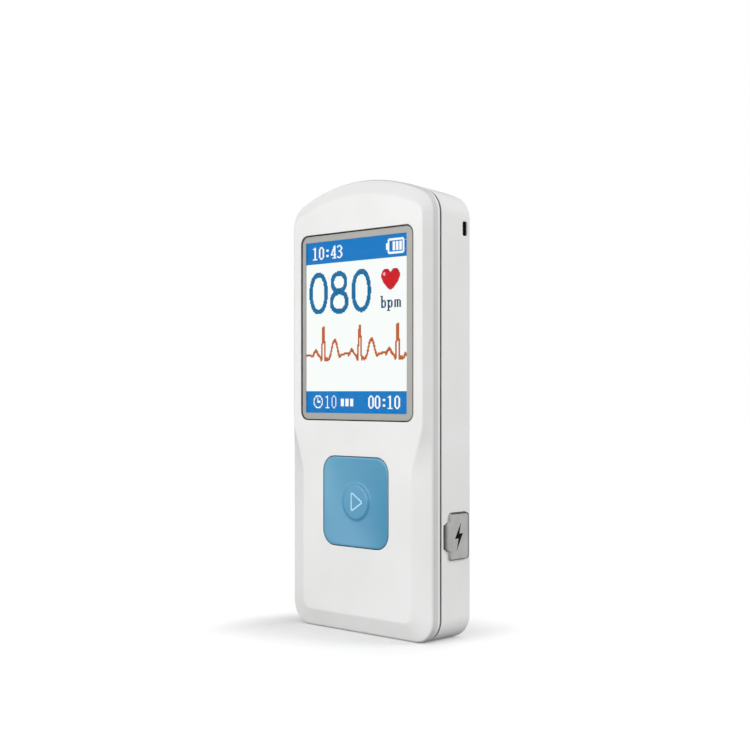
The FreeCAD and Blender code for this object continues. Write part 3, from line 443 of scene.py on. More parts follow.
def fillFlat(work, loops):
    edges = [work.edges.get(pair) or work.edges.new(pair) for loop in loops for pair in neighbours(loop)]
    # the fill takes points nearer than 0.03 for one, so it runs on them in millimetres
    corners = [vert for loop in loops for vert in loop]
    bmesh.ops.scale(work, vec=Vector((1, 1, 1)) / mm, verts=corners)
    bmesh.ops.triangle_fill(work, edges=edges, use_beauty=True)
    bmesh.ops.scale(work, vec=Vector((1, 1, 1)) * mm, verts=corners)


def addHole(work, opening, place, rounding, lip):
    # place(a, b, depth) sets a point of the edge below the face; the edge turns in and goes down to the lip
    lap = 0.01  # the wall stands a little inside the opening

    def ring(out, depth):
        return [place(a, b, depth) for a, b in boxOutline(*opening, out)]

    rings = [ring(rounding + support, 0)]
    for turn in (math.pi / 2 * share for share in shares(4)):
        rings.append(ring(rounding * (1 - math.sin(turn)) - lap, rounding * (1 - math.cos(turn))))
    rings.append(ring(-lap, lip))
    return bridgeAll(work, rings)[0]


def bend(start, corner, end, steps):
    # a soft turn from one point to the next round a corner
    return [tuple(((1 - share) ** 2 * a + 2 * (1 - share) * share * b + share ** 2 * c)
                  for a, b, c in zip(start, corner, end)) for share in shares(steps)]


merging = {"flatTurn": 0.6, "wallLean": 0.02, "wallInset": 0.06, "slack": 0.01}  # the turn is in degrees


def mergedSolid(node, isSkin=None):
    # a solid with its flat faces whole again, and without its outer faces where isSkin tells them
    work = bmesh.new()
    work.from_mesh(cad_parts[node].data)
    bmesh.ops.remove_doubles(work, verts=work.verts, dist=1e-6)
    outer = []
    for face in work.faces if isSkin else ():
        corners = [vert.co / mm for vert in face.verts]
        inset = max(outlineDepth(corner.x, corner.z) for corner in corners)
        onOuterWall = abs(face.normal.y) < merging["wallLean"] and inset < merging["wallInset"]
        if onOuterWall or isSkin([corner.y for corner in corners], inset, face.normal.y):
            outer.append(face)
    bmesh.ops.delete(work, geom=outer, context="FACES")
    bmesh.ops.dissolve_limit(work, angle_limit=math.radians(merging["flatTurn"]), verts=work.verts,
                             edges=work.edges)
    return work


def finishShell(name, skin, node, isSkin, facing):
    bmesh.ops.recalc_face_normals(skin, faces=skin.faces)
    widest = max(skin.faces, key=lambda face: face.calc_area())
    if widest.normal.dot(Vector(facing)) < 0:
        bmesh.ops.reverse_faces(skin, faces=skin.faces)
    inside = mergedSolid(node, isSkin)
    spare = bpy.data.meshes.new(name + "Inside")
    inside.to_mesh(spare)
    inside.free()
    skin.from_mesh(spare)
    bpy.data.meshes.remove(spare)
    for face in skin.faces:
        face.smooth = True
    mesh = bpy.data.meshes.new(name)
    skin.to_mesh(mesh)
    skin.free()
    mesh.set_sharp_from_angle(angle=math.radians(32))
    dress(inScene(name, mesh), "housing", "white_abs", "whiteAbs", node)
    print(name, "has", len(mesh.polygons), "faces")


frontSkin = {
    "crestRound": 0.34, "footRound": 0.42, "rimRound": 0.14, "lipInset": 0.5, "lipDepth": 0.003,
    "slopeShares": (0.06, 0.35, 0.65, 0.94), "wallTurn": 0.3, "turnSteps": 7, "bevelReach": 5.6,
    "bevelLean": -0.1, "holes": {"window": (0.12, 0.9), "key": (0.12, 1.6)},  # rounding, depth
}


def frontProfile(crest, side, outer, lip):
    # from the raised panel over the bevel and down the wall to the seam, at one point of the outline
    size = frontSkin
    top = Vector((crest[0], housing["front"], crest[1]))
    edge = Vector((side[0], housing["shoulder"], side[1]))

    def onWall(y):
        return Vector((outer[0], y, outer[1]))

    outwards = Vector((side[0] - crest[0], 0, side[1] - crest[1])).normalized()
    slope = (edge - top).normalized()
    profile = [top - outwards * (size["crestRound"] + support)]
    profile += bend(top - outwards * size["crestRound"], top, top + slope * size["crestRound"], 5)
    start, end = top + slope * size["crestRound"], edge - slope * size["footRound"]
    profile += [start.lerp(end, share) for share in size["slopeShares"]]
    level = housing["foot"] + size["wallTurn"]
    handles = [end, edge, onWall(housing["foot"]), onWall(level)]
    for share in shares(size["turnSteps"]):
        profile.append(handles[0] * (1 - share) ** 3 + handles[1] * 3 * share * (1 - share) ** 2
                       + handles[2] * 3 * share ** 2 * (1 - share) + handles[3] * share ** 3)
    rim = housing["seamFront"]
    inwards = Vector((lip[0] - outer[0], 0, lip[1] - outer[1])).normalized()
    profile += [onWall(level + support), onWall(rim - size["rimRound"] - support)]
    profile += bend(onWall(rim - size["rimRound"]), onWall(rim), onWall(rim) + inwards * size["rimRound"], 4)
    return profile + [Vector((lip[0], rim + size["lipDepth"], lip[1]))]


def buildFrontShell():
    work = bmesh.new()
    strips = [frontProfile(*spots) for spots in zip(panelOutline(), bodyOutline(housing["shoulderInset"]),
                                                    bodyOutline(0), bodyOutline(frontSkin["lipInset"]))]
    rings = bridgeAll(work, zip(*strips))

    def below(x, z, depth):
        return (x, housing["front"] + depth, z)

    loops = [addHole(work, openings[name], below, *edge) for name, edge in frontSkin["holes"].items()]
    fillFlat(work, [rings[0]] + loops)

    def isSkin(depths, inset, lean):
        near, far, slack = min(depths), max(depths), merging["slack"]
        onBevel = (lean < frontSkin["bevelLean"] and near > housing["front"] - slack
                   and far < housing["foot"] + slack and inset < frontSkin["bevelReach"]
                   and len({round(depth, 2) for depth in depths}) > 1)
        return far < housing["front"] + slack or onBevel

    finishShell("frontShell", work, "front_shell", isSkin, (0, -1, 0))


backSkin = {
    "rimRound": 0.17, "lipInset": 0.5, "lipDepth": 0.003, "bevelWidth": 0.9, "bevelReach": 1.4,
    "bevelLean": 0.05, "bevelFrom": 5.9, "soft": 0.34,
    "crownDrop": 0.55,  # the top of the wall falls this far towards the back
    "sideHoles": {"port": (0.06, 0.28), "strap": (0.04, 1.5), "sideEye": (0.14, 3.6)},  # rounding, depth
    "backHoles": {"upperPlate": (0.08, 0.55), "lowerPlate": (0.08, 0.55), "backEye": (0.14, 1.4)},
    "screwHole": (4.0, 1.98, 0.12, 2.1),  # width, corner, rounding, depth; a full round doubles points
}
shellScrew = {
    "seat": 5.0, "headThick": 1.2, "headRadius": 1.75, "crossLong": 1.05, "crossWide": 0.26,
    "crossDeep": 0.75, "crossTaper": 0.55, "shankRadius": 0.8, "shankLong": 8.6, "tip": 0.8,
    "middle": 0.05, "around": 40, "turnBetween": 0.7,
    "dome": ((1, 0), (1, 0.55), (0.94, 0.78), (0.76, 0.94), (0.5, 1)),  # shares of radius and thickness
    "spots": [(-14.0, 6.6), (-14.0, 92.6), (14.0, 6.6), (14.0, 92.6)],
}


def backProfiles(outer, lip):
    # the rim at the seam, and the bevel round the back, at one point of the outline
    size = backSkin
    (x, z), (lipX, lipZ) = outer, lip
    inwards = Vector((lipX - x, 0, lipZ - z)).normalized()
    backwards = Vector((0, 1, 0))
    rim = Vector((x, housing["seamBack"], z))
    wall = [Vector((lipX, housing["seamBack"] - size["lipDepth"], lipZ))]
    wall += bend(rim + inwards * size["rimRound"], rim, rim + backwards * size["rimRound"], 4)
    wall.append(rim + backwards * (size["rimRound"] + support))
    corner = Vector((x, housing["backBevel"], z - size["crownDrop"] * (z / housing["height"]) ** 2))
    slope = (inwards + backwards).normalized()
    crest = corner + slope * size["bevelWidth"] * math.sqrt(2)
    bevel = [corner - backwards * (size["soft"] + support)]
    bevel += bend(corner - backwards * size["soft"], corner, corner + slope * size["soft"], 4)
    bevel += bend(crest - slope * size["soft"], crest, crest + inwards * size["soft"], 4)
    bevel.append(crest + inwards * (size["soft"] + support))
    return wall, bevel


def buildBackShell():
    work = bmesh.new()
    pairs = [backProfiles(*spots) for spots in zip(bodyOutline(0), bodyOutline(backSkin["lipInset"]))]
    frontRings, backRings = (bridgeAll(work, zip(*strips)) for strips in zip(*pairs))

    # the wall between them; its flat right side carries the port, the strap's slot and the eye
    frontLoop, backLoop = frontRings[-1], backRings[0]
    first = housing["base"] + housing["corner"]
    last = first + 3 * housing["side"] + 2 * housing["waist"]
    bridge(work, frontLoop, backLoop, lambda step: not first <= step < last)

    def insideWall(y, z, depth):
        return (housing["halfWidth"] - depth, y, z)

    def insideBack(x, z, depth):
        return (x, housing["back"] - depth, z)

    loops = [addHole(work, openings[name], insideWall, *edge) for name, edge in backSkin["sideHoles"].items()]
    fillFlat(work, [frontLoop[first:last + 1] + backLoop[first:last + 1][::-1]] + loops)
    loops = [addHole(work, openings[name], insideBack, *edge) for name, edge in backSkin["backHoles"].items()]
    width, corner, rounding, depth = backSkin["screwHole"]
    loops += [addHole(work, (spot, width, width, corner), insideBack, rounding, depth)
              for spot in shellScrew["spots"]]
    fillFlat(work, [backRings[-1]] + loops)

    def isSkin(depths, inset, lean):
        near = min(depths)
        onBevel = (lean > backSkin["bevelLean"] and near > backSkin["bevelFrom"]
                   and inset < backSkin["bevelReach"])
        return near > housing["back"] - merging["slack"] or onBevel

    finishShell("backShell", work, "back_shell", isSkin, (0, 1, 0))


buildFrontShell()
buildBackShell()


# painted shade: dark rings that stand in for the shade in the seam and in the gaps round the window, the key
# and the eye

def onFront(x, z, y):
    return (x, y, z)


def onSide(y, z, x):
    return (x, y, z)


def ringPiece(name, outer, inner, place, near, far):
    # a closed ring between two outlines, from one depth to another
    lines = ((outer, near), (inner, near), (inner, far), (outer, far))
    return loftedPiece(name, [[place(a, b, level) for a, b in line] for line, level in lines], closed=True)


# dark is the finish of the painted-shade rings; printed is the window's grey border
dark, printed = ("black_foam", "gapBlack"), ("warm_grey_print", "warmGreyPrint", "window_border")
flatRings = {  # outer and inner outline, the side they lie in, the depths of both ends, and the finish
    "seamShade": (bodyOutline(0.06), bodyOutline(0.75), onFront, -3.525, -3.115, dark),
    "windowShade": (boxOutline((-0.1, 67.9), 34.48, 41.98, 2.03),
                    boxOutline((-0.07, 67.9), 33.89, 41.45, 1.8), onFront, -7.12, -6.99, dark),
    "keyShade": (boxOutline(*openings["key"], -0.005), boxOutline(*openings["key"], -0.12), onFront,
                 -7.06, -6.9, dark),
    "greyFilm": (boxOutline((0, 67.9), 33.96, 41.56, 1.88), boxOutline((-0.4, 67.9), 31.0, 38.6, 0.02),
                 onFront, -6.97, -6.85, printed),
    "eyeShade": (boxOutline(*openings["sideEye"], -0.02), boxOutline(*openings["sideEye"], -0.05), onSide,
                 21.2, 17.6, dark),
}
for ringName, (*ringSizes, ringKind) in flatRings.items():
    dress(ringPiece(ringName, *ringSizes), "housing", *ringKind)
print("shells and gaps made")

# port cover: its plate and its tab are one soft moulding
softCover = {
    "middleZ": 22.55, "wall": 21.5, "face": 22.085, "left": -2.35, "plateLeft": -0.7, "right": 5.2,
    "tabHalf": 2.3, "tabFull": 3.12, "slantEnd": -1.0, "plateHalf": 4.95, "plateCorner": 0.7,
    "tabLow": 0.34, "tabLip": 0.12, "tabRise": 1.3, "tabCorner": 0.35, "edge": 0.14, "crown": 0.006,
    "sunk": 0.02, "edgeSteps": 6, "acrossSteps": 12,
    # stations across the wall, closer where the shape turns: from the tab's end, from the plate's start
    # and back from its far end
    "tabStations": (0.0, 0.01, 0.03, 0.07, 0.12, 0.18, 0.25, 0.35, 0.5, 0.65, 0.8, 0.9, 1.0, 1.1, 1.2, 1.3,
                    1.45),
    "plateStations": (-0.06, -0.005, 0.005, 0.02, 0.05, 0.1, 0.17, 0.27, 0.4, 0.55, 0.7),
    "farStations": (0.55, 0.4, 0.27, 0.2, 0.15, 0.1, 0.06, 0.03, 0.01, 0.0),
}


def roundedIn(half, reach, corner):
    gap = max(corner - reach, 0)
    return half - corner + math.sqrt(max(corner * corner - gap * gap, 0))


def coverHalf(y):
    # half the cover's height at one place across the wall
    size = softCover
    if y < size["plateLeft"]:
        slant = min(max((y - size["left"]) / (size["slantEnd"] - size["left"]), 0), 1)
        half = size["tabHalf"] + (size["tabFull"] - size["tabHalf"]) * slant
        return roundedIn(half, y - size["left"], size["tabCorner"])
    reach = min(y - size["plateLeft"], size["right"] - y)
    return roundedIn(size["plateHalf"], reach, size["plateCorner"])


def coverTop(y):
    size = softCover
    full = size["face"] - size["wall"]
    if y < size["left"] + size["tabRise"]:
        share = (y - size["left"]) / size["tabRise"]
        start = full * size["tabLow"] * math.sin(math.pi / 2 * min(share / size["tabLip"], 1)) ** 0.5
        return size["wall"] + start + (full - full * size["tabLow"]) * math.sin(math.pi / 2 * share)
    return roundedIn(size["face"], size["right"] - y, size["edge"])


def coverStations():
    size = softCover
    step, right = size["plateLeft"], size["right"]
    flatStart, flatEnd = step + size["plateStations"][-1], right - size["plateStations"][-1]
    return ([size["left"] + offset for offset in size["tabStations"]]
            + [step + offset for offset in size["plateStations"]]
            + [flatStart + (flatEnd - flatStart) * share for share in shares(6, 1)]
            + [right - offset for offset in size["farStations"]])


def buildSoftCover():
    size = softCover
    rings = []
    for y in coverStations():
        half, top = coverHalf(y), coverTop(y)
        edge = min(size["edge"], max(top - size["wall"], 0.02) * 0.9)
        ring = [(size["wall"] - size["sunk"], -half), (top - edge, -half)]
        for turn in (math.pi / 2 * share for share in shares(size["edgeSteps"], 1)):
            ring.append((top - edge * (1 - math.sin(turn)), -half + edge * (1 - math.cos(turn))))
        side = [(x, -z) for x, z in reversed(ring)]
        for z in ((half - edge) * (2 * share - 1) for share in shares(size["acrossSteps"], 1)[:-1]):
            ring.append((top + size["crown"] * (1 - (z / half) ** 2), z))
        rings.append([(x, y, size["middleZ"] + z) for x, z in ring + side])
    piece = loftedPiece("softCover", rings, sharp=50)
    piece.data.materials.append(finish["softGreyRubber"])
    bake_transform(piece)


def coverLoop(out):
    # the cover's outline, grown by out
    right = [(y, coverHalf(y)) for y in coverStations()]
    loop = [(y, -half) for y, half in right] + [(y, half) for y, half in reversed(right)]
    grown = []
    for index, spot in enumerate(loop):
        before, after = Vector(loop[index - 1]), Vector(loop[(index + 1) % len(loop)])
        along = (after - before).normalized()
        grown.append((spot[0] + along.y * out, softCover["middleZ"] + spot[1] - along.x * out))
    return grown


coverShade = {
    "shut": -0.01, "wide": 0.12, "inner": -0.05, "near": 21.525, "far": 21.25,
    "stepReach": 0.5, "stepBeyond": 2.9,  # where the gap is shut, beside the tab's step
}


# painted shade: a dark ring in the gap round the port cover and beside the tab, standing in for the shade
# there
def buildCoverShade():
    size = coverShade
    outer = [tight if (abs(tight[0] - softCover["plateLeft"]) < size["stepReach"]
                       and abs(tight[1] - softCover["middleZ"]) > size["stepBeyond"]) else loose
             for tight, loose in zip(coverLoop(size["shut"]), coverLoop(size["wide"]))]
    ring = ringPiece("coverShade", outer, coverLoop(size["inner"]), onSide, size["near"], size["far"])
    dress(ring, "housing", *dark)


coverRim = {  # two boxes, where the line starts, and how it stands to the cover's face
    "outer": ((2.25, 22.55), 5.9, 9.9, 0.7, 0.005), "inner": ((2.13, 22.50), 5.66, 9.6, 0.62),
    "start": -0.45, "raised": 0.013, "lean": 0.008, "deep": 0.16,
}


def buildCoverRimShade():
    # painted shade: a dark line along the plate's rounded rim, where it turns away from the light, open
    # towards the tab
    size = coverRim
    outer, inner = boxOutline(*size["outer"]), boxOutline(*size["inner"])
    first = 3 * (len(outer) // 4) - 1  # the first point below the tab
    spots = [pair for pair in zip(outer[first:] + outer[:first], inner[first:] + inner[:first])
             if pair[0][0] > size["start"]]
    near, far = softCover["face"] + size["raised"], softCover["face"] - size["deep"]
    rings = [[(far, outY, outZ), (near - size["lean"], outY, outZ), (near, inY, inZ), (far, inY, inZ)]
             for (outY, outZ), (inY, inZ) in spots]
    dress(loftedPiece("coverRim", rings), "port_cover", "black_plastic", "rimGrey")


buildSoftCover()
buildCoverShade()
buildCoverRimShade()

# soft and metal pieces: the same solids with softened edges
softening = {
    "crease": 24.0, "segments": 2,  # edges that turn less, in degrees, are left smooth
    "drawnFrom": 21.15, "drawnDepth": 0.975,  # what lies further out is drawn in to this share of its depth
}
softened = {  # node, body, slot, finish, softness, and how it is drawn in under the soft cover's skin:
    # the middle of its depth, the share of its height, and where it ends
    "portPlug": ("usb_cover", "port_cover", "grey_tpu", "softGreyRubber", 0.06, (2.25, 0.985, 21.95)),
    "portStrapTail": ("usb_cover_strap", "housing", "grey_tpu", "softGreyRubber", 0.06, (-1.5, 0.7, 21.6)),
    "upperElectrode": ("upper_electrode", "housing", "electrode_steel", "brushedSteel", 0.05, None),
    "lowerElectrode": ("lower_electrode", "housing", "electrode_steel", "brushedSteel", 0.05, None),
}


def drawIn(verts, middleY, heightShare, end):
    middleY, middleZ = middleY * mm, softCover["middleZ"] * mm
    for vert in verts:
        if vert.co.x > softening["drawnFrom"] * mm:
            vert.co.y = middleY + (vert.co.y - middleY) * softening["drawnDepth"]
            vert.co.z = middleZ + (vert.co.z - middleZ) * heightShare
        vert.co.x = min(vert.co.x, end * mm)


def softCopy(name, node, body, slot, look, softness, drawn):
    crease = math.radians(softening["crease"])
    piece = inScene(name, bpy.data.meshes.new(name))
    work = mergedSolid(node)
    if drawn:
        drawIn(work.verts, *drawn)
    for face in work.faces:
        face.smooth = True
    for edge in work.edges:
        edge.smooth = len(edge.link_faces) != 2 or edge.calc_face_angle(0) <= crease
    work.to_mesh(piece.data)
    work.free()
    soften = piece.modifiers.new("softEdges", "BEVEL")
    soften.width = softness * mm
    soften.segments = softening["segments"]
    soften.limit_method = "ANGLE"
    soften.angle_limit = crease
    soften.harden_normals = True
    bakeModifiers(piece)
    dress(piece, body, slot, look, node)


for pieceName, pieceFacts in softened.items():
    softCopy(pieceName, *pieceFacts)
print("soft and metal pieces made")

# measure button: a square key with a shallow dish and a low boss in its middle
measureKey = {
    "centreZ": 29.1, "front": -7.2, "half": 9.9, "corner": 3.4, "edge": 0.2, "edgeSteps": 4,
    "dishDepth": 0.5, "dishRings": 16, "rimPower": 6, "bossRadius": 4.2, "collar": 0.56, "footWidth": 0.14,
    "middle": 0.4, "flatEnd": 0.35, "slopeStart": 0.06, "bossSteps": 14, "flangeFront": -5.35,
    "flangeBack": -4.75, "flangeOut": 0.8, "stubRadius": 1.8, "stubBack": -4.45, "around": 160,
}


def roundedReach(angle, half, corner):
    # distance from the middle of a rounded square to its edge in one direction
    across, up = abs(math.cos(angle)), abs(math.sin(angle))
    reach = half / max(across, up)
    inner = half - corner
    if min(across, up) * reach <= inner:
        return reach
    along = (across + up) * inner
    return along + math.sqrt(max(along * along - 2 * inner * inner + corner * corner, 0))


def buildMeasureKey():
    size = measureKey
    edge = size["half"] - size["edge"]
    top, foot = size["bossRadius"] - size["collar"], size["bossRadius"] + size["footWidth"]

    def ring(reachAt, depthAt):
        # a loop round the key, depthAt(angle, reach) below its front
        loop = []
        for angle in circle(size["around"]):
            reach = reachAt(angle)
            x, z = polar(reach, angle)
            loop.append((x, size["front"] + depthAt(angle, reach), size["centreZ"] + z))
        return loop

    def disc(radius, depth):
        return ring(lambda angle: radius, lambda angle, reach: depth)

    def square(out, depth):
        return ring(lambda angle: roundedReach(angle, size["half"] + out, size["corner"] + out),
                    lambda angle, reach: depth)

    def hollow(x, z):
        return size["dishDepth"] * max(1 - (x / edge) ** 2, 0) * max(1 - (z / edge) ** 2, 0)

    def toRim(angle):
        return roundedReach(angle, edge, size["corner"] - size["edge"])

    def dishDepth(angle, reach):
        # smooth over the whole key, and level with its front all round the rim
        full = toRim(angle)
        return (hollow(*polar(reach, angle))
                - hollow(*polar(full, angle)) * (reach / full) ** size["rimPower"])

    rings = [disc(size["middle"], 0), disc(top - size["flatEnd"], 0)]
    # the boss slopes down to its foot, with soft turns above and below
    for share in shares(size["bossSteps"]):
        radius = top - size["slopeStart"] + (foot - top + size["slopeStart"]) * share
        drop = share * share * (3 - 2 * share)
        rings.append(ring(lambda angle: radius, lambda angle, reach: dishDepth(angle, foot) * drop))
    for share in shares(size["dishRings"], 1):
        rings.append(ring(lambda angle: foot + (toRim(angle) - foot) * share, dishDepth))
    for turn in (math.pi / 2 * share for share in shares(size["edgeSteps"], 1)):
        rings.append(square(-size["edge"] * (1 - math.sin(turn)), size["edge"] * (1 - math.cos(turn))))
    flangeFront, flangeBack = size["flangeFront"] - size["front"], size["flangeBack"] - size["front"]
    rings += [square(0, flangeFront), square(size["flangeOut"], flangeFront),
              square(size["flangeOut"], flangeBack), disc(size["stubRadius"], flangeBack),
              disc(size["stubRadius"], size["stubBack"] - size["front"])]
    dress(loftedPiece("measureKey", rings, sharp=40), "button", "blue_key", "satinBlue", "measure_button")


playMark = {"left": -1.35, "right": 2.5, "halfHeight": 2.39, "radius": 0.42, "width": 0.34, "raise": 0.03}


def buildPlayMark():
    # the outline of a triangle, printed on the boss
    size = playMark
    low, tip, high = (Vector(spot) for spot in ((size["left"], -size["halfHeight"]), (size["right"], 0),
                                                (size["left"], size["halfHeight"])))
    outer, inner = ([point for corner in ((high, low, tip), (low, tip, high), (tip, high, low))
                     for point in roundOff(*corner, size["radius"], 6, out)] for out in (0, -size["width"]))
    top, base = measureKey["front"] - size["raise"], measureKey["front"] + size["raise"]
    rings = [[(across, y, measureKey["centreZ"] + up) for across, up in loop]
             for loop, y in ((outer, base), (outer, top), (inner, top), (inner, base))]
    dress(loftedPiece("playMark", rings, closed=True), "button", "blue_key", "paleBluePrint")


buildMeasureKey()
buildPlayMark()
print("measure button made")

# picture on the display, drawn cell by cell
picture = {
    "columns": 128, "rows": 160, "width": 31.0, "height": 38.4, "left": -15.94, "top": 87.1, "face": -6.272,
    "spill": {"left": 0.46, "right": 0.8, "above": 0.4, "below": 0.4},  # the outer cells run on by this
    "paper": (0.955, 0.975, 0.955), "bandBlue": (0.0, 0.185, 0.545),
    "digitBlue": (0.0, 0.148, 0.345), "white": (0.96, 0.98, 1.0), "red": (0.62, 0.002, 0.010),
    "darkRed": (0.36, 0.004, 0.014), "pink": (0.93, 0.42, 0.45), "orange": (0.52, 0.11, 0.016),
    "ink": (0.008, 0.065, 0.14),
    # the rate's ovals: middle, half width and height, and pen
    "rate": ((14.6, 47.6, 12.4, 19.8, 4.8), (41.6, 38.6, 10.8, 10.4, 4.5), (41.8, 56.8, 12.2, 11.2, 4.7),
             (70.2, 47.8, 12.4, 19.8, 4.8)),
    "boxes": (  # left, top, right, bottom: the bands, the battery's knob, case and bars, and the foot's bars
        (0, 0, 128, 20, "bandBlue"), (0, 140, 128, 160, "bandBlue"), (101, 7, 104, 13, "white"),
        (104, 3, 122, 17, "white"), (103, 4, 123, 16, "white"), (105, 5, 121, 15, "bandBlue"),
        (109, 6, 112, 14, "white"), (113, 6, 116, 14, "white"), (117, 6, 120, 14, "white"),
        (44, 147, 48, 154, "white"), (50, 147, 54, 154, "white"), (56, 147, 60, 154, "white")),
    "texts": (  # left, top, colour, pen: the time of day, the rate's unit, ten seconds, the time run
        ("10:43", 7, 4, "white", 2), ("bp", 94, 54, "ink", 2), ("m", 111, 54, "ink", 2),
        ("10", 24, 144, "white", 1), ("00:10", 79, 144, "white", 2)),
    "peaks": (21.2, 68.4, 115.2), "traceStart": (-2, 106.2), "traceEnd": [(126, 107.6), (128, 105.8)],
    "traceLast": 125, "tracePen": 1.0,
    "clockFace": (14, 150, 6, 6, 1.2), "hands": [(13.6, 146.5), (13.6, 150), (16.5, 150)], "handPen": 0.2,
}

glyphs = {  # six to eight cells wide, rows from the top
    "0": "..##.. .#..#. #....# #....# #....# #....# #....# #....# #....# #....# .#..#. ..##..",
    "1": "..#... ###... ..#... ..#... ..#... ..#... ..#... ..#... ..#... ..#... ..#... #####.",
    "3": ".###.. #...#. .....# .....# ....#. ..##.. ....#. .....# .....# .....# #...#. .###..",
    "4": "....#. ...##. ...##. ..#.#. ..#.#. .#..#. .#..#. #...#. ###### ....#. ....#. ..####",
    ":": "...... ...... ...... ..##.. ..##.. ...... ...... ...... ..##.. ..##.. ...... ......",
    "b": "##.... .#.... .#.... .#.... .#.##. .##..# .#...# .#...# .#...# .##..# .#.##.",
    "p": "...... ...... ...... ...... ##.##. .##..# .#...# .#...# .#...# .##..# .#.##. .#.... .#.... ###...",
    "m": "...... ...... ...... ...... ######. #..#..# #..#..# #..#..# #..#..# #..#..# #..#..#",
}

heartbeat = [  # columns from the tall peak, and the row
    (-14.4, 106.6), (-12, 103.5), (-10, 101.4), (-7.6, 105), (-4.4, 107.8), (-2.8, 111), (-0.6, 80),
    (0.5, 80), (2.3, 110.8), (3.9, 108.9), (5.5, 111), (7.3, 109.5), (9.2, 106.4), (12.3, 95.4), (15, 91.8),
    (17.4, 96.4), (19.7, 104.5), (21.3, 107.8), (23.9, 106.2), (28, 105.4), (32, 104.8),
]


def paintPicture():
    columns, rows = picture["columns"], picture["rows"]
    cells = [[picture["paper"]] * columns for _ in range(rows)]

    def put(column, row, colour):
        if 0 <= column < columns and 0 <= row < rows:
            cells[int(row)][int(column)] = picture[colour]

    def fill(left, top, right, bottom, colour):
        for row in range(top, bottom):
            for column in range(left, right):
                put(column, row, colour)

    def write(text, left, top, colour, bold):
        for place, letter in enumerate(text):
            for row, line in enumerate(glyphs[letter].split()):
                for column, mark in enumerate(line):
                    if mark == "#":
                        for extra in range(bold):
                            put(left + place * 8 + column + extra, top + row, colour)

    def oval(middleX, middleY, halfX, halfY, pen, colour):
        for row in range(int(middleY - halfY) - 1, int(middleY + halfY) + 2):
            for column in range(int(middleX - halfX) - 1, int(middleX + halfX) + 2):
                x, y = abs(column + 0.5 - middleX), abs(row + 0.5 - middleY)
                outside = (x / halfX) ** 2.2 + (y / halfY) ** 2.2
                inside = (x / (halfX - pen)) ** 2.2 + (y / (halfY - pen)) ** 2.2
                if outside <= 1 <= inside:
                    put(column, row, colour)

    def trace(points, pen, colour):
        for (startX, startY), (endX, endY) in zip(points, points[1:]):
            steps = int(4 * math.hypot(endX - startX, endY - startY)) + 1
            for step in range(steps + 1):
                x = startX + (endX - startX) * step / steps
                y = startY + (endY - startY) * step / steps
                for across in (-pen / 2, pen / 2):
                    for up in (-pen / 2, pen / 2):
                        put(x + across, y + up, colour)

    for box in picture["boxes"]:
        fill(*box)
    for words in picture["texts"]:
        write(*words)
    for sizes in picture["rate"]:
        oval(*sizes, "digitBlue")
    paintHeart(put)
    line = [picture["traceStart"]]
    for peak in picture["peaks"]:
        line += [(peak + across, row) for across, row in heartbeat if peak + across < picture["traceLast"]]
    trace(line + picture["traceEnd"], picture["tracePen"], "orange")
    oval(*picture["clockFace"], "white")
    trace(picture["hands"], picture["handPen"], "white")
    return cells


heart = {  # in cells, then in shares of its half width and its height
    "rows": (28, 51), "columns": (94, 122), "middle": 106.5, "top": 29.8, "half": 11.3, "height": 19.6,
    "notchDeep": 0.15, "notchHalf": 0.27, "lobe": 0.3, "taper": 0.3, "belly": 0.32,
    "lowRim": 0.065, "highRim": 0.045, "sideRim": 0.92,
    "gleamX": -0.7, "gleamY": 0.24, "gleamFlat": 1.6, "gleamSize": 0.011,
}


def paintHeart(put):
    size = heart
    for row in range(*size["rows"]):
        for column in range(*size["columns"]):
            x = (column + 0.5 - size["middle"]) / size["half"]
            y = (row + 0.5 - size["top"]) / size["height"]
            reach = abs(x)
            high = size["notchDeep"] * max(1 - reach / size["notchHalf"], 0)
            if reach > 0.5:
                high = size["lobe"] * (1 - math.sqrt(max(0.0, 1 - (2 * reach - 1) ** 2)))
            low = 1 - size["taper"] * reach - size["belly"] * reach ** 3 if reach <= 1 else -1
            if high <= y <= low:
                inRim = y > low - size["lowRim"] or y < high + size["highRim"] or reach > size["sideRim"]
                gleamReach = (x - size["gleamX"]) ** 2 + (y - size["gleamY"]) ** 2 * size["gleamFlat"]
                inGleam = gleamReach < size["gleamSize"]
                put(column, row, "pink" if inGleam else "darkRed" if inRim else "red")


def buildPicture():
    # each row is made of runs of one colour
    size, spill = picture, picture["spill"]
    pitchX, pitchZ = size["width"] / size["columns"], size["height"] / size["rows"]
    points, faces, colours = [], [], []
    for row, line in enumerate(paintPicture()):
        topZ = size["top"] - row * pitchZ + (spill["above"] if row == 0 else 0)
        lowZ = size["top"] - (row + 1) * pitchZ - (spill["below"] if row == size["rows"] - 1 else 0)
        start = 0
        while start < len(line):
            end = start
            while end < len(line) and line[end] == line[start]:
                end += 1
            left = size["left"] + start * pitchX - (spill["left"] if start == 0 else 0)
            right = size["left"] + end * pitchX + (spill["right"] if end == len(line) else 0)
            first = len(points)
            points += [(x, size["face"], z)
                       for x, z in ((left, lowZ), (right, lowZ), (right, topZ), (left, topZ))]
            faces.append((first, first + 1, first + 2, first + 3))
            colours.append(line[start])
            start = end
    piece = makeMesh("displayPicture", points, faces, smooth=False)
    layer = piece.data.color_attributes.new("cellColour", "FLOAT_COLOR", "CORNER")
    for face, colour in zip(piece.data.polygons, colours):
        for corner in face.loop_indices:
            layer.data[corner].color = (*colour, 1)
    dress(piece, "housing", "lcd_glass", "litPicture")
    print("picture drawn in", len(faces), "runs")


buildPicture()

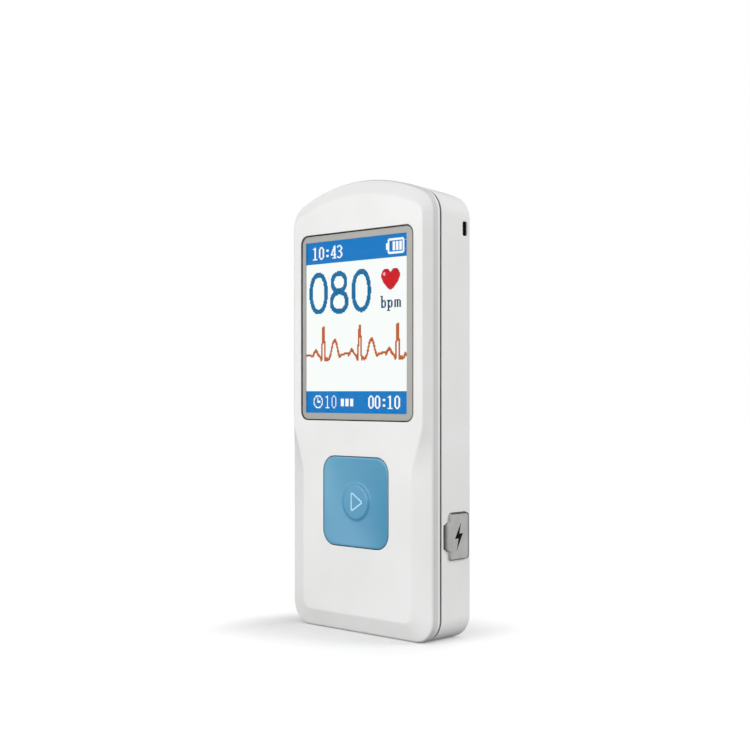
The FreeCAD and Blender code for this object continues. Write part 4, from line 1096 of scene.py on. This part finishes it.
# mark on the port cover: a plain bolt
boltMark = {
    "low": 22.05, "high": 22.099, "middleY": 1.9, "middleZ": 22.5,
    "outline": [(0.75, 3.0), (-1.3, -0.45), (-0.1, -0.45), (-0.75, -3.0), (1.35, 0.6), (0.15, 0.6)],
}
bolt = [[(x, boltMark["middleY"] + y, boltMark["middleZ"] + z) for y, z in boltMark["outline"]]
        for x in (boltMark["low"], boltMark["high"])]
dress(loftedPiece("coverMark", bolt), "port_cover", "black_plastic", "blackPrint")


# shell screws, one head set on four points

def buildScrewHead():
    size = shellScrew
    top, end, middle = size["headThick"], -size["shankLong"], size["middle"]
    profile = [(middle, end), (size["shankRadius"], end + size["tip"]), (size["shankRadius"], 0)]
    profile += [(size["headRadius"] * share, top * level) for share, level in size["dome"]] + [(middle, top)]
    rings = [[(x, height, z) for x, z in (polar(radius, turn) for turn in circle(size["around"]))]
             for radius, height in profile]
    head = loftedPiece("screwHead", rings, sharp=35)
    tool = bpy.data.meshes.new("crossTool")
    work = bmesh.new()
    for across, up in ((size["crossLong"], size["crossWide"]), (size["crossWide"], size["crossLong"])):
        for vert in bmesh.ops.create_cube(work, size=2 * mm)["verts"]:
            taper = 1.0 if vert.co.y > 0 else size["crossTaper"]
            vert.co = Vector((vert.co.x * across * taper, vert.co.y * size["crossDeep"] + top * mm,
                              vert.co.z * up * taper))
    work.to_mesh(tool)
    work.free()
    cross = inScene("crossTool", tool)
    recess = head.modifiers.new("crossRecess", "BOOLEAN")
    recess.operation = "DIFFERENCE"
    recess.object = cross
    recess.solver = "EXACT"
    recess.use_self = True
    bakeModifiers(head)
    bpy.data.objects.remove(cross)
    head.data.set_sharp_from_angle(angle=math.radians(35))
    return head


def setOnPoints(name, head, spots, y, turnBetween, material):
    # a geometry nodes tree sets one copy of the head on each point
    points = makeMesh(name, [(x, y, z) for x, z in spots], [])
    tree = bpy.data.node_groups.new(name + "Tree", "GeometryNodeTree")
    sockets = [tree.interface.new_socket(label, in_out=side, socket_type="NodeSocket" + kind)
               for label, side, kind in (("Geometry", "INPUT", "Geometry"),
                                         ("Turn between heads", "INPUT", "Float"),
                                         ("Geometry", "OUTPUT", "Geometry"))]
    start = addNode(tree, "NodeGroupInput", {})
    source = addNode(tree, "GeometryNodeObjectInfo", {"Object": head})
    index = addNode(tree, "GeometryNodeInputIndex", {})
    turn = addNode(tree, "ShaderNodeMath", {0: index.outputs["Index"], 1: start.outputs["Turn between heads"]},
                   operation="MULTIPLY")
    angles = addNode(tree, "ShaderNodeCombineXYZ", {"Y": turn.outputs["Value"]})
    heads = addNode(tree, "GeometryNodeInstanceOnPoints", {
        "Points": start.outputs["Geometry"], "Instance": source.outputs["Geometry"],
        "Rotation": angles.outputs["Vector"]})
    realize = addNode(tree, "GeometryNodeRealizeInstances", {"Geometry": heads.outputs["Instances"]})
    paint = addNode(tree, "GeometryNodeSetMaterial", {"Geometry": realize.outputs["Geometry"],
                                                      "Material": material})
    addNode(tree, "NodeGroupOutput", {"Geometry": paint.outputs["Geometry"]})
    modifier = points.modifiers.new("setOnPoints", "NODES")
    modifier.node_group = tree
    modifier[sockets[1].identifier] = turnBetween
    bakeModifiers(points)
    bpy.data.objects.remove(head)
    return points


screws = setOnPoints("shellScrews", buildScrewHead(), shellScrew["spots"], shellScrew["seat"],
                     shellScrew["turnBetween"], finish["platedSteel"])
dress(screws, "housing", "bright_steel")
print("screws set")

# floor, light and camera, in metres and watts
studio = {
    "floorRadius": 1.6, "floorSides": 96, "nearGlow": 0.14, "farGlow": 1.0, "floorSeen": 0.85,
    "seenFade": (0.0, 0.028), "shadowPoolMiddle": (-0.003, 0, 0), "shadowPoolHalf": (0.0185, 0.0072, 0),
    "shadowPoolStretch": (1.7, 1, 0), "floorTone": 0.37, "floorFar": 0.05, "toneFade": (0.10, 0.42),
    "ambient": 0.5, "reflected": 0.55, "aim": (0, 0, 0.05),
    "lens": 62.62, "cameraPlace": (0.20074, -0.21236, 0.0533), "cameraTurn": 43.5, "shiftUp": 0.02273,
}
lamps = {  # place, width and height, power, which rays see it
    "frontLeft": ((-0.20, -0.83, 0.30), (0.50, 0.50), 2.7, "diffuse"),
    "frontLow": ((0.0, -0.87, 0.12), (0.50, 0.30), 1.8, "diffuse"),
    "sheen": ((-0.38, -0.80, 0.19), (0.50, 0.34), 4.1, "glossy"),
    "frontRight": ((0.45, -0.75, 0.35), (0.45, 0.45), 0.9, "both"),
    "backRight": ((0.67, 0.54, 0.34), (0.50, 0.50), 5.1, "diffuse"),
}


def seenShare(tree, rays):
    # what is seen, also through the window's glass, is set apart from what lights the object
    return addNode(tree, "ShaderNodeMath", {0: rays.outputs["Is Camera Ray"],
                                            1: rays.outputs["Is Transmission Ray"]},
                   operation="MAXIMUM").outputs["Value"]


def buildFloor():
    radius, sides = studio["floorRadius"] / mm, studio["floorSides"]
    points = [(0, 0, 0)] + [(*polar(radius, turn), 0) for turn in circle(sides)]
    faces = [(0, 1 + step, 1 + (step + 1) % sides) for step in range(sides)]
    floor = makeMesh("studioFloor", points, faces, smooth=False)
    material, tree, shader = newMaterial("paleFloor")
    place = placeOnPiece(tree)

    def reached(*moves):
        # the length of the place on the floor, after the moves
        source = place
        for operation, level in moves:
            source = addNode(tree, "ShaderNodeVectorMath", {0: source, 1: level},
                             operation=operation).outputs["Vector"]
        return addNode(tree, "ShaderNodeVectorMath", {0: source}, operation="LENGTH").outputs["Value"]

    def faded(near, far, fade, reach):
        # from the level near the object to the level further out
        return mapped(tree, reach, fade, (near, far), "SMOOTHSTEP")

    fromMiddle = reached()
    # painted shadow: the floor's glow is turned down in a pool round the base, set a little to one side, so
    # the floor is greyer there; the lamps' real shadows show in it too
    fromBase = reached(("SUBTRACT", studio["shadowPoolMiddle"]), ("ABSOLUTE", (0, 0, 0)),
                       ("SUBTRACT", studio["shadowPoolHalf"]), ("MAXIMUM", (0, 0, 0)),
                       ("MULTIPLY", studio["shadowPoolStretch"]))
    rays = addNode(tree, "ShaderNodeLightPath", {})
    glow = mixed(tree, 0.0, faded(studio["nearGlow"], studio["farGlow"], studio["seenFade"], fromBase),
                 seenShare(tree, rays), "FLOAT")
    # a paler floor would light the object from below
    tone = mixed(tree, faded(studio["floorTone"], studio["floorFar"], studio["toneFade"], fromMiddle),
                 faded(studio["floorSeen"], studio["floorFar"], studio["seenFade"], fromBase),
                 rays.outputs["Is Camera Ray"], "FLOAT")
    tint = addNode(tree, "ShaderNodeCombineColor", {"Red": tone, "Green": tone, "Blue": tone})
    feed(shader, {"Base Color": tint.outputs["Color"], "Specular IOR Level": 0.0,
                  "Emission Color": (1, 1, 1, 1), "Emission Strength": glow})
    floor.data.materials.append(material)


def areaLight(name, place, size, power, kind):
    lamp = bpy.data.lights.new(name, "AREA")
    lamp.shape, lamp.energy = "RECTANGLE", power
    lamp.size, lamp.size_y = size
    holder = inScene(name, lamp)
    holder.location = place
    aim = Vector(studio["aim"]) - Vector(place)
    holder.rotation_euler = aim.to_track_quat("-Z", "Y").to_euler()
    holder.visible_diffuse = kind != "glossy"
    holder.visible_glossy = kind != "diffuse"
    holder.visible_transmission = False


def lightWorld():
    world = bpy.data.worlds.new("studioWorld")
    bpy.context.scene.world = world
    world.use_nodes = True
    tree = world.node_tree
    rays = addNode(tree, "ShaderNodeLightPath", {})
    # gloss and metal see a paler room than the one that lights the object
    room = mixed(tree, studio["ambient"], studio["reflected"], rays.outputs["Is Glossy Ray"], "FLOAT")
    level = mixed(tree, room, 1.0, seenShare(tree, rays), "FLOAT")
    feed(tree.nodes["Background"], {"Color": (1, 1, 1, 1), "Strength": level})


def placeCamera():
    camera = bpy.data.cameras.new("studioCamera")
    camera.lens = studio["lens"]
    camera.sensor_width = 36
    camera.shift_y = studio["shiftUp"]
    camera.clip_start = 0.01
    holder = inScene("studioCamera", camera)
    holder.location = studio["cameraPlace"]
    holder.rotation_euler = (math.radians(90), 0, math.radians(studio["cameraTurn"]))
    bpy.context.scene.camera = holder


buildFloor()
for lampName, lampFacts in lamps.items():
    areaLight(lampName, *lampFacts)
lightWorld()
placeCamera()
bpy.context.scene.view_settings.view_transform = "Standard"
print("studio ready")
